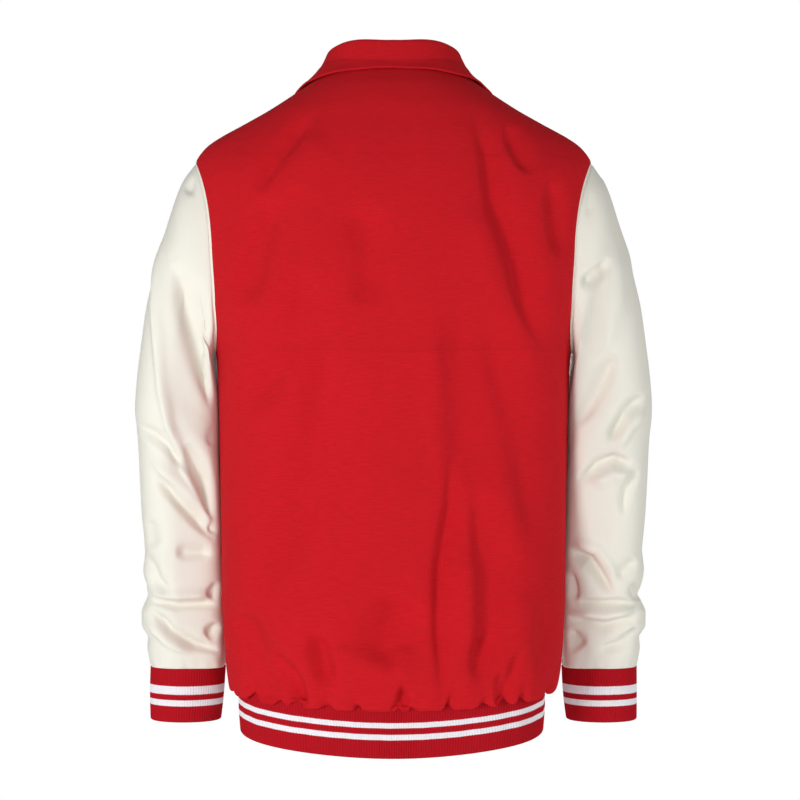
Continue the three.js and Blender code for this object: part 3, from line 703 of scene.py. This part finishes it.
def bandRows(rows):
    share = np.linspace(0, 1, rows - len(rib["extraRows"]))
    return np.sort(np.concatenate([share, rib["extraRows"]]))


def makeBand(name, plain, outwards, up, closed):
    # knit ribs: a rounded relief across the band
    columns = plain.shape[1]
    phase = np.arange(columns) / rib["columnsPerRib"] * 2 * math.pi
    relief = rib["depth"] * (0.5 + 0.5 * np.cos(phase))[None, :] * smooth(up / 0.03 + 0.25)[:, None]
    outer = plain + outwards * relief[..., None]
    inner = (plain - outwards * rib["cloth"])[:, :: rib["perInnerStep"]]
    heights = (np.repeat(up[:, None], columns, 1), np.repeat(up[:, None], inner.shape[1], 1))
    reliefs = (relief / rib["depth"] + 0 * outer[..., 0], np.zeros(inner.shape[:2]))
    attributes = {"up": heights, "relief": reliefs}
    return makeWall(name, outer, inner, closed, attributes)


def makeHem():
    columns = hem["ribs"] * rib["columnsPerRib"]
    seam = torso["hemSeam"]
    end = math.pi + torso["lap"]["across"] / float(torsoRadius(math.pi, seam))
    up = bandRows(hem["rows"])
    angle = np.linspace(-end, end, columns + 1)[None, :] + 0 * up[:, None]
    z = seam - torso["seamGap"] - hem["height"] * (1 - up)[:, None] + 0 * angle

    def point(a, h):
        return torsoPoint(a, h, lapLift(a, h, hem["lift"]), level=True)

    outwards = surfaceNormals(point, angle, z)
    plain = point(angle, z) - outwards * bandInset(up)[:, None, None]
    # the band is drawn in unevenly under the gathers
    wave = 0.35 * np.sin(angle * 23 + 1.3) + 0.25 * np.sin(angle * 41)
    plain = plain + outwards * (wave * np.sin(math.pi * up)[:, None])[..., None]
    return makeBand("hemBand", plain, outwards, up, False)


def makeCuff(name, side):
    top = sleeve["sections"][-1]
    columns = cuff["ribs"] * rib["columnsPerRib"]
    up = bandRows(cuff["rows"])[:, None]
    turn = np.linspace(0, 2 * math.pi, columns, endpoint=False)[None, :]
    inset = bandInset(up)
    x = side * mix(cuff["endX"], (top["outX"] + top["inX"]) / 2, up)
    y = mix(cuff["endY"], (top["outY"] + top["inY"]) / 2, up)
    across = mix(cuff["across"], (top["outX"] - top["inX"]) / 2, up) - inset
    deep = mix(cuff["deep"], top["deep"], up) - inset
    wave = 0.4 * np.sin(turn * 5 + 0.8 + side) * np.sin(math.pi * up)
    z = top["outZ"] - torso["seamGap"] - cuff["height"] * (1 - up) + 0 * turn
    plain = np.stack([x + (across + wave) * np.sin(turn), y + (deep + wave) * np.cos(turn), z], -1)
    outwards = unit(np.stack([np.sin(turn) * deep, np.cos(turn) * across, 0 * turn * deep], -1))
    return makeBand(name, plain, outwards, up[:, 0], True)


# Collar

collar = {
    "cloth": 2.2, "fold": 2.7, "columns": 260, "rows": 46,
    "stitchFromEdge": 4.2, "stitch": {"pitch": 3.0, "long": 2.2, "thick": 0.5},
    "round": 1.1, "groove": {"deep": 0.32, "wide": 0.55}, "wave": {"fall": 0.55, "edge": 0.35},
    "edgeRows": [
        0, 0.12, 0.3, 0.55, 0.8, 1.1, 1.7, 2.4, 3.0, 3.4, 3.8, 4.2, 4.6, 5.0, 5.4, 6.2, 7.2,
    ],
    "stations": [
        {"angle": 0, "edge": 0, "edgeZ": -7, "rise": 21, "lean": 3.5},
        {"angle": 35, "edge": 35, "edgeZ": -9, "rise": 19.5, "lean": 3.5},
        {"angle": 65, "edge": 65, "edgeZ": -15, "rise": 16, "lean": 4},
        {"angle": 90, "edge": 90, "edgeZ": -22, "rise": 12.5, "lean": 4.5},
        {"angle": 115, "edge": 112, "edgeZ": -42, "rise": 9.5, "lean": 4.5},
        {"angle": 145, "edge": 131, "edgeZ": -78, "rise": 7, "lean": 3.5},
        {"angle": 165, "edge": 143, "edgeZ": -103, "rise": 6, "lean": 2.5},
        {"angle": 176.5, "edge": 151, "edgeZ": -122, "rise": 5.5, "lean": 2},
    ],
}


def collarMiddle():
    # the middle of the cloth from the neck seam up the stand, over the fold and down the fall
    half = collar["cloth"] / 2
    end = collar["stations"][-1]["angle"]
    degrees = np.linspace(-end, end, collar["columns"] + 1)
    side, station = np.where(degrees < 0, -1, 1), np.abs(degrees)

    def at(name):
        return fromTable(collar["stations"], "angle", name, station)

    angle = np.radians(degrees)
    seamZ = neckHeight(angle)
    left, right = frontPoint(1, True), frontPoint(-1, True)
    isLeft = (side > 0)[:, None]
    seam = np.where(isLeft, left(angle, seamZ), right(angle, seamZ))
    normal = np.where(isLeft, surfaceNormals(left, angle, seamZ), surfaceNormals(right, angle, seamZ))
    outward = np.stack([np.sin(angle), np.cos(angle), 0 * angle], -1)
    above = np.array([0, 0, 1.0])
    lap = torso["lap"]["lift"]
    base = seam - normal * half
    turn = torsoPoint(angle, seamZ, lapLift(station * math.pi / 180, seamZ, lap), True)
    turn = turn - outward * at("lean")[:, None] + above * at("rise")[:, None]

    def overFold(up):
        up = math.radians(up)
        return turn - outward * math.cos(up) * collar["fold"] + above * math.sin(up) * collar["fold"]

    stand = overFold(0)
    start = base + unit(stand - base) * (torso["seamGap"] + 0.5)

    def fall(share):
        to = np.radians(side * mix(station, at("edge"), share))
        z = mix(seamZ, at("edgeZ"), share)
        near = lapLift(np.abs(to), z, lap)
        off = half + 1.5 + 2.2 * (1 - share) ** 2
        normals = surfaceNormals(lambda a, h: torsoPoint(a, h, level=True), to, z)
        return torsoPoint(to, z, near, True) + normals * off

    rows = [start, mix(base, stand, 0.5), stand] + [overFold(a) for a in (30, 60, 90, 120, 150, 180)]
    return np.stack(rows + [fall(s) for s in (0, 0.2, 0.4, 0.6, 0.8, 1)])


def makeCollar():
    control = collarMiddle()
    keys = np.concatenate([[0], np.linalg.norm(np.diff(control, axis=0), axis=-1).mean(1).cumsum()])
    edge = keys[-1]
    near = edge - np.array(collar["edgeRows"])
    fine = np.concatenate([np.linspace(0, near[-1], collar["rows"], endpoint=False), near[::-1]])
    middle = curveThrough(keys, control, fine)
    # soft unevenness along the fold line and the fall, as pressed cloth has
    across = np.linspace(-1, 1, middle.shape[1])[None, :]
    fallShare = smooth((fine - keys[8]) / (edge - keys[8]))[:, None]
    wave, edgeRound, groove = collar["wave"], collar["round"], collar["groove"]
    lift = wave["fall"] * np.sin(across * 17 + 0.6) * np.sin(math.pi * fallShare)
    lift = lift + wave["edge"] * fallShare * np.sin(across * 29)
    normals = gridNormals(middle)
    middle = middle - normals * (lift * fallShare + wave["edge"] * fallShare)[..., None]
    normals = gridNormals(middle)
    half = collar["cloth"] / 2
    # both long edges are rounded, and the stitching lies in a shallow groove
    fromEdge = np.minimum(edge - fine, edgeRound) / edgeRound
    thick = half * np.sqrt(1 - (1 - fromEdge) ** 2 * 0.92)
    thick = thick * np.sqrt(1 - 0.7 * (1 - np.minimum(fine / edgeRound, 1)) ** 2)
    dip = groove["deep"] * np.exp(-(((edge - fine - collar["stitchFromEdge"]) / groove["wide"]) ** 2))
    outer = middle + normals * thick[:, None, None]
    inner = middle - normals * (thick - dip)[:, None, None]
    return makeWall("collarFold", outer, inner), inner, edge - fine


def makeStitches(name, line, normals, pitch, long, thick):
    # a row of short thread stitches along a line of points
    steps = np.concatenate([[0], np.linalg.norm(np.diff(line, axis=0), axis=-1).cumsum()])
    places = np.arange(pitch, steps[-1] - pitch, pitch)
    centre = np.stack([np.interp(places, steps, line[:, k]) for k in range(3)], -1)
    ahead = np.stack([np.interp(places + 0.6, steps, line[:, k]) for k in range(3)], -1)
    up = unit(np.stack([np.interp(places, steps, normals[:, k]) for k in range(3)], -1))
    forward = unit(ahead - centre)
    sideways = unit(np.cross(up, forward))
    share = np.linspace(-1, 1, 7)
    around = np.linspace(0, 2 * math.pi, 6, endpoint=False)
    body = thick / 2 * np.sqrt(np.maximum(0.06, 1 - share ** 2))
    sink = 0.35 * share ** 2 * thick
    local = np.stack([
        np.repeat(share[:, None] * long / 2, 6, 1),
        body[:, None] * np.cos(around)[None, :],
        body[:, None] * np.sin(around)[None, :] - sink[:, None],
    ], -1).reshape(-1, 3)
    points = centre[:, None] + (
        local[None, :, :1] * forward[:, None] + local[None, :, 1:2] * sideways[:, None]
        + local[None, :, 2:] * up[:, None]
    )
    faces = []
    for r in range(6):
        for c in range(6):
            n = (c + 1) % 6
            faces.append((r * 6 + c, (r + 1) * 6 + c, (r + 1) * 6 + n, r * 6 + n))
    caps = [tuple(range(6)), tuple(range(41, 35, -1))]
    every = [tuple(k * 42 + v for v in face) for k in range(len(places)) for face in faces + caps]
    mesh = bpy.data.meshes.new(name)
    mesh.from_pydata((points.reshape(-1, 3) * metres).tolist(), [], every)
    mesh.polygons.foreach_set("use_smooth", np.ones(len(mesh.polygons), bool))
    piece = bpy.data.objects.new(name, mesh)
    bpy.context.scene.collection.objects.link(piece)
    return piece


# Press studs

stud = {
    "sides": 48, "offCloth": 0.5,
    "profile": [
        (0, 0), (7.0, 0), (7.35, 0.25), (7.5, 0.8), (7.35, 1.35), (6.9, 1.8), (6.3, 2.0), (5.8, 1.9),
        (5.45, 1.7), (5.1, 1.72), (4.6, 2.1), (3.6, 2.38), (2.2, 2.55), (0.9, 2.6), (0, 2.6),
    ],
    "rings": [-95, -190, -285, -380, -475, -570],
    "ribDrop": 26, "overRib": 0.9,
}


def makeStud(name, point, z):
    angle, z = np.array(math.pi), np.array(float(z))
    normal = surfaceNormals(point, angle, z)
    centre = point(angle, z) + normal * stud["offCloth"]
    sideways = unit(np.cross(np.array([0, 0, 1.0]), normal))
    upwards = np.cross(normal, sideways)
    profile = np.array(stud["profile"], float)
    turn = np.linspace(0, 2 * math.pi, stud["sides"], endpoint=False)
    around = np.cos(turn)[:, None] * sideways + np.sin(turn)[:, None] * upwards
    ring = profile[1:-1, 0, None, None] * around + profile[1:-1, 1, None, None] * normal
    points = [centre, *(centre + ring.reshape(-1, 3)), centre + profile[-1, 1] * normal]
    sides, rows = stud["sides"], len(profile) - 2
    faces = [(0, 1 + (k + 1) % sides, 1 + k) for k in range(sides)]
    for r in range(rows - 1):
        for k in range(sides):
            a, b = 1 + r * sides, 1 + (r + 1) * sides
            n = (k + 1) % sides
            faces.append((a + k, a + n, b + n, b + k))
    last = 1 + (rows - 1) * sides
    faces += [(last + k, last + (k + 1) % sides, len(points) - 1) for k in range(sides)]
    mesh = bpy.data.meshes.new(name)
    mesh.from_pydata([(p * metres).tolist() for p in points], [], faces)
    mesh.polygons.foreach_set("use_smooth", np.ones(len(mesh.polygons), bool))
    piece = bpy.data.objects.new(name, mesh)
    bpy.context.scene.collection.objects.link(piece)
    return piece


# Materials

class Wire:
    # a shader socket that takes part in Python expressions
    def __init__(self, shader, socket):
        self.shader, self.socket = shader, socket

    def maths(self, operation, *values):
        return self.shader.node("Math", {"operation": operation}, dict(enumerate(values)))

    def __add__(self, other):
        return self.maths("ADD", self, other)

    def __radd__(self, other):
        return self.maths("ADD", other, self)

    def __sub__(self, other):
        return self.maths("SUBTRACT", self, other)

    def __rsub__(self, other):
        return self.maths("SUBTRACT", other, self)

    def __mul__(self, other):
        return self.maths("MULTIPLY", self, other)

    def __rmul__(self, other):
        return self.maths("MULTIPLY", other, self)

    def __truediv__(self, other):
        return self.maths("DIVIDE", self, other)

    def __rtruediv__(self, other):
        return self.maths("DIVIDE", other, self)

    def sine(self):
        return self.maths("SINE", self)

    def clamped(self):
        return self.maths("MINIMUM", self.maths("MAXIMUM", self, 0.0), 1.0)


class Shader:
    def __init__(self, name):
        self.material = bpy.data.materials.new(name)
        self.material.use_nodes = True
        self.tree = self.material.node_tree
        self.tree.nodes.clear()

    def node(self, kind, settings=None, sockets=None, output=0):
        made = self.tree.nodes.new("ShaderNode" + kind)
        for key, value in (settings or {}).items():
            setattr(made, key, value)
        for key, value in (sockets or {}).items():
            if isinstance(value, Wire):
                self.tree.links.new(value.socket, made.inputs[key])
            else:
                made.inputs[key].default_value = value
        return Wire(self, made.outputs[output]) if made.outputs else None

    def blend(self, factor, a, b):
        return self.node("Mix", {"data_type": "RGBA"}, {0: factor, 6: a, 7: b}, 2)

    def shade(self, colour, factor):
        # a colour made lighter or darker by a value round 1
        grey = self.node("CombineXYZ", None, {0: factor, 1: factor, 2: factor})
        return self.node("VectorMath", {"operation": "MULTIPLY"}, {0: colour, 1: grey})

    def across(self):
        # metres along the weft and up the warp
        cloth = self.node("UVMap", {"uv_map": "cloth"})
        parts = self.tree.nodes.new("ShaderNodeSeparateXYZ")
        self.tree.links.new(cloth.socket, parts.inputs[0])
        return cloth, Wire(self, parts.outputs[0]), Wire(self, parts.outputs[1])

    def noise(self, vector, stretch, detail=2.0, rough=0.5):
        scaled = self.node("VectorMath", {"operation": "MULTIPLY"}, {0: vector, 1: stretch})
        sockets = {"Vector": scaled, "Scale": 1.0, "Detail": detail, "Roughness": rough}
        return self.node("TexNoise", None, sockets)

    def finish(self, colour, roughness, height, bump, **constants):
        normal = self.node("Bump", None, {"Height": height, "Distance": bump, "Strength": 1.0})
        sockets = {"Base Color": colour, "Roughness": roughness, "Normal": normal, **constants}
        surface = self.node("BsdfPrincipled", None, sockets)
        self.node("OutputMaterial", None, {"Surface": surface})
        return self.material


def linear(*srgb):
    values = [v / 255 for v in srgb]
    return (*[v / 12.92 if v <= 0.04045 else ((v + 0.055) / 1.055) ** 2.4 for v in values], 1.0)


# The albedo of each finish, from how bright it looks in soft light
exposure = 0.86
bodyCloth = {
    "red": (209, 26, 36), "slubLong": 0.014, "slubTall": 0.0011, "weavePitch": 0.0007,
    "slubShade": 0.24, "mottle": 0.10, "roughness": 0.9, "bump": 0.00032,
}
sleeveCloth = {
    "ivory": (241, 239, 227), "exposure": 0.95, "twillPitch": 0.0011, "slubShade": 0.02, "mottle": 0.02,
    "roughness": 0.66, "bump": 0.00010,
}
# the knit's trough value is how much painted shade darkens the colour in the troughs between ribs
knit = {
    "red": (203, 24, 38), "stripe": (252, 250, 255), "loopPitch": 0.0014, "paintedTroughShade": 0.16,
    "roughness": 0.9, "bump": 0.00035, "stripeEdge": 0.006, "stripeExposure": 0.97,
}
studFinish = {"face": (236, 232, 220), "roughness": 0.32, "scuff": 0.05}
thread = {"red": (202, 40, 50), "fuzz": 0.2}


def dimmed(colour, factor=exposure):
    return (*[v * factor for v in linear(*colour)[:3]], 1.0)


def makeBodyCloth(name, strength=1.0):
    shader = Shader(name)
    cloth, weft, warp = shader.across()
    slub = shader.noise(cloth, (1 / bodyCloth["slubLong"], 1 / bodyCloth["slubTall"], 1), 3.0, 0.6)
    fine = shader.noise(cloth, (420.0, 2600.0, 1.0), 1.0)
    mottle = shader.noise(cloth, (11.0, 14.0, 1.0), 2.0)
    turns = 2 * math.pi / bodyCloth["weavePitch"]
    weave = (weft * turns).sine() * (warp * turns).sine()
    shade = 1.0 + (slub - 0.5) * bodyCloth["slubShade"] * 2 * strength
    shade = shade + (fine - 0.5) * bodyCloth["slubShade"] + (mottle - 0.5) * bodyCloth["mottle"]
    colour = shader.shade(dimmed(bodyCloth["red"])[:3], shade)
    roughness = bodyCloth["roughness"] + (slub - 0.5) * 0.12
    height = slub * 0.7 + fine * 0.35 + weave * 0.12
    constants = {"Specular IOR Level": 0.1}
    return shader.finish(colour, roughness, height, bodyCloth["bump"], **constants)


def makeSleeveCloth(name):
    shader = Shader(name)
    cloth, weft, warp = shader.across()
    slub = shader.noise(cloth, (160.0, 700.0, 1.0), 2.0)
    mottle = shader.noise(cloth, (9.0, 7.0, 1.0), 2.0)
    twill = ((weft + warp) * (2 * math.pi / sleeveCloth["twillPitch"])).sine()
    shade = 1.0 + (slub - 0.5) * sleeveCloth["slubShade"] + (mottle - 0.5) * sleeveCloth["mottle"]
    shade = shade + twill * 0.006
    colour = shader.shade(dimmed(sleeveCloth["ivory"], sleeveCloth["exposure"])[:3], shade)
    roughness = sleeveCloth["roughness"] + (slub - 0.5) * 0.08
    height = twill * 0.4 + slub * 0.8
    constants = {"Sheen Weight": 0.1, "Sheen Roughness": 0.4, "Specular IOR Level": 0.3}
    return shader.finish(colour, roughness, height, sleeveCloth["bump"], **constants)


def makeKnit(name, stripes):
    # ribs in raised columns, with white stripes knitted in round the band, and painted shade that darkens
    # the troughs between the ribs
    shader = Shader(name)
    cloth, weft, warp = shader.across()
    up = shader.node("Attribute", {"attribute_name": "up"}, None, 2)
    relief = shader.node("Attribute", {"attribute_name": "relief"}, None, 2)
    loops = (warp * (2 * math.pi / knit["loopPitch"]) + relief * 2.4).sine()
    fuzz = shader.noise(cloth, (900.0, 900.0, 1.0), 2.0)
    mottle = shader.noise(cloth, (30.0, 30.0, 1.0), 2.0)
    # each stripe's edge steps with the loops
    place = up + (fuzz - 0.5) * 0.012 + (relief - 0.5) * 0.006
    white = 0.0
    for low, high in stripes:
        above, below = (place - low) / knit["stripeEdge"], (high - place) / knit["stripeEdge"]
        white = white + above.clamped() * below.clamped()
    colour = shader.blend(white, dimmed(knit["red"]), dimmed(knit["stripe"], knit["stripeExposure"]))
    # painted shade: the colour is darkened in the rib troughs, less on the white stripes, on top of the
    # knit's own random tone and loop pattern
    shade = 1.0 - (1.0 - relief) * (1.0 - white * 0.7) * knit["paintedTroughShade"] + loops * 0.05
    shade = shade + (fuzz - 0.5) * 0.12 + (mottle - 0.5) * 0.06
    colour = shader.shade(colour, shade)
    roughness = knit["roughness"] + (fuzz - 0.5) * 0.1
    height = loops * 0.5 + fuzz * 0.5
    constants = {"Specular IOR Level": 0.08}
    return shader.finish(colour, roughness, height, knit["bump"], **constants)


def makeStudFinish():
    shader = Shader("studEnamel")
    place = shader.node("TexCoord", None, None, 3)
    scuff = shader.noise(place, (900.0, 900.0, 900.0), 3.0)
    colour = shader.shade(dimmed(studFinish["face"])[:3], 1.0 + (scuff - 0.5) * studFinish["scuff"])
    roughness = studFinish["roughness"] + (scuff - 0.5) * 0.2
    return shader.finish(colour, roughness, scuff, 0.00002, **{"Coat Weight": 0.3})


def makeThread():
    shader = Shader("sewingThread")
    place = shader.node("TexCoord", None, None, 3)
    fuzz = shader.noise(place, (2500.0, 2500.0, 2500.0), 2.0)
    colour = shader.shade(dimmed(thread["red"])[:3], 0.9 + fuzz * thread["fuzz"])
    return shader.finish(colour, 0.7 + fuzz * 0.1, fuzz, 0.00005, **{"Specular IOR Level": 0.3})


finishes = {
    "body": makeBodyCloth("bodyCloth"),
    "collar": makeBodyCloth("collarCloth", 0.6),
    "sleeve": makeSleeveCloth("sleeveCloth"),
    "hem": makeKnit("hemKnit", hem["stripes"]),
    "cuff": makeKnit("cuffKnit", cuff["stripes"]),
    "stud": makeStudFinish(),
    "thread": makeThread(),
}
print("materials made")


# Assembly

def place(piece, finish, slot, *nodes):
    piece.data.materials.append(finishes[finish])
    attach(piece, "root")
    if nodes:
        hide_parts(*nodes)
    return piece


back = place(makeBack(), "body", "body_cloth", "back_panel")
print("back made")
frontLeft = place(makeFront("frontLeft", 1), "body", "body_cloth", "front_left")
frontRight = place(makeFront("frontRight", -1), "body", "body_cloth", "front_right")
print("fronts made")
leftArm = makeSleeve("sleeveLeft", 1, leftSleeveFolds, rightSleeveFolds)
rightArm = makeSleeve("sleeveRight", -1, rightSleeveFolds, leftSleeveFolds)
sleeveLeft = place(leftArm, "sleeve", "sleeve_cloth", "sleeve_left")
sleeveRight = place(rightArm, "sleeve", "sleeve_cloth", "sleeve_right")
print("sleeves made")
cuffLeft = place(makeCuff("cuffLeft", 1), "cuff", "rib_knit", "cuff_left")
cuffRight = place(makeCuff("cuffRight", -1), "cuff", "rib_knit", "cuff_right")
hemBand = place(makeHem(), "hem", "rib_knit", "hem_rib")
print("ribs made")
collarWall, collarFace, fromEdge = makeCollar()
place(collarWall, "collar", "body_cloth", "collar")
stitchRow = int(np.argmin(np.abs(fromEdge - collar["stitchFromEdge"])))
collarNormals = -gridNormals(collarFace)
stitches = makeStitches(
    "collarStitching", collarFace[stitchRow], collarNormals[stitchRow], **collar["stitch"])
collarStitching = place(stitches, "thread", "body_cloth")
print("collar made")
for number, z in enumerate(stud["rings"], 1):
    place(makeStud(f"pressStud{number}", frontPoint(1), z), "stud", "stud", f"stud_{number}")
ribZ = torso["hemSeam"] - stud["ribDrop"]
ribFace = hem["lift"] + stud["overRib"]
number = len(stud["rings"]) + 1
lastStud = makeStud(f"pressStud{number}", lambda a, h: torsoPoint(a, h, ribFace, True), ribZ)
place(lastStud, "stud", "stud", f"stud_{number}")
print("studs made")


# Floor, light and camera

studio = {
    "floorDrop": -1.45, "floorSide": 5.6, "ambient": 0.30, "backdrop": 1.0,
    "lamps": [
        {"name": "softKey", "power": 25.0, "wide": 0.6, "at": (1.3, 1.9, -0.42)},
        {"name": "softFill", "power": 10.5, "wide": 0.8, "at": (-0.3, 2.3, -0.55)},
        {"name": "leftSide", "power": 2.0, "wide": 0.8, "at": (1.8, 0.3, -0.40)},
        {"name": "rightSide", "power": 8.5, "wide": 0.8, "at": (-1.8, 0.5, -0.40)},
        {"name": "frontFill", "power": 24.0, "wide": 1.0, "at": (0.4, -2.3, -0.30)},
    ],
    "aim": (0.0, 0.0, -0.33),
}
camera = {"at": (-0.0068, 2.6, -0.345), "lens": 111.43, "sensor": 36.0}


def makeFloor():
    half, down = studio["floorSide"] / 2, studio["floorDrop"]
    mesh = bpy.data.meshes.new("floor")
    corners = [(-half, -half, down), (half, -half, down), (half, half, down), (-half, half, down)]
    mesh.from_pydata(corners, [], [(0, 1, 2, 3)])
    floor = bpy.data.objects.new("floor", mesh)
    bpy.context.scene.collection.objects.link(floor)
    shader = Shader("paleFloor")
    mesh.materials.append(shader.finish((0.93, 0.93, 0.93, 1.0), 0.9, 0.0, 0.0))


def makeLight():
    for row in studio["lamps"]:
        light = bpy.data.lights.new(row["name"], "AREA")
        light.energy, light.size = row["power"], row["wide"]
        lamp = bpy.data.objects.new(row["name"], light)
        lamp.location = row["at"]
        towards = Vector(studio["aim"]) - Vector(row["at"])
        lamp.rotation_euler = towards.to_track_quat("-Z", "Y").to_euler()
        lamp.visible_camera = False
        bpy.context.scene.collection.objects.link(lamp)
    # a white backdrop that gives less light than it shows
    world = bpy.data.worlds.new("studio")
    world.use_nodes = True
    background = world.node_tree.nodes["Background"]
    path = world.node_tree.nodes.new("ShaderNodeLightPath")
    seen = world.node_tree.nodes.new("ShaderNodeMapRange")
    seen.inputs["To Min"].default_value = studio["ambient"]
    seen.inputs["To Max"].default_value = studio["backdrop"]
    world.node_tree.links.new(path.outputs["Is Camera Ray"], seen.inputs["Value"])
    world.node_tree.links.new(seen.outputs["Result"], background.inputs["Strength"])
    background.inputs["Color"].default_value = (1, 1, 1, 1)
    bpy.context.scene.world = world


def makeCamera():
    data = bpy.data.cameras.new("camera")
    data.lens, data.sensor_width = camera["lens"], camera["sensor"]
    data.clip_start, data.clip_end = 0.05, 60
    made = bpy.data.objects.new("camera", data)
    made.location = camera["at"]
    made.rotation_euler = (math.radians(90), 0, math.radians(180))
    bpy.context.scene.collection.objects.link(made)
    bpy.context.scene.camera = made


makeFloor()
makeLight()
makeCamera()
bpy.context.scene.view_settings.view_transform = "Standard"
print("studio made")
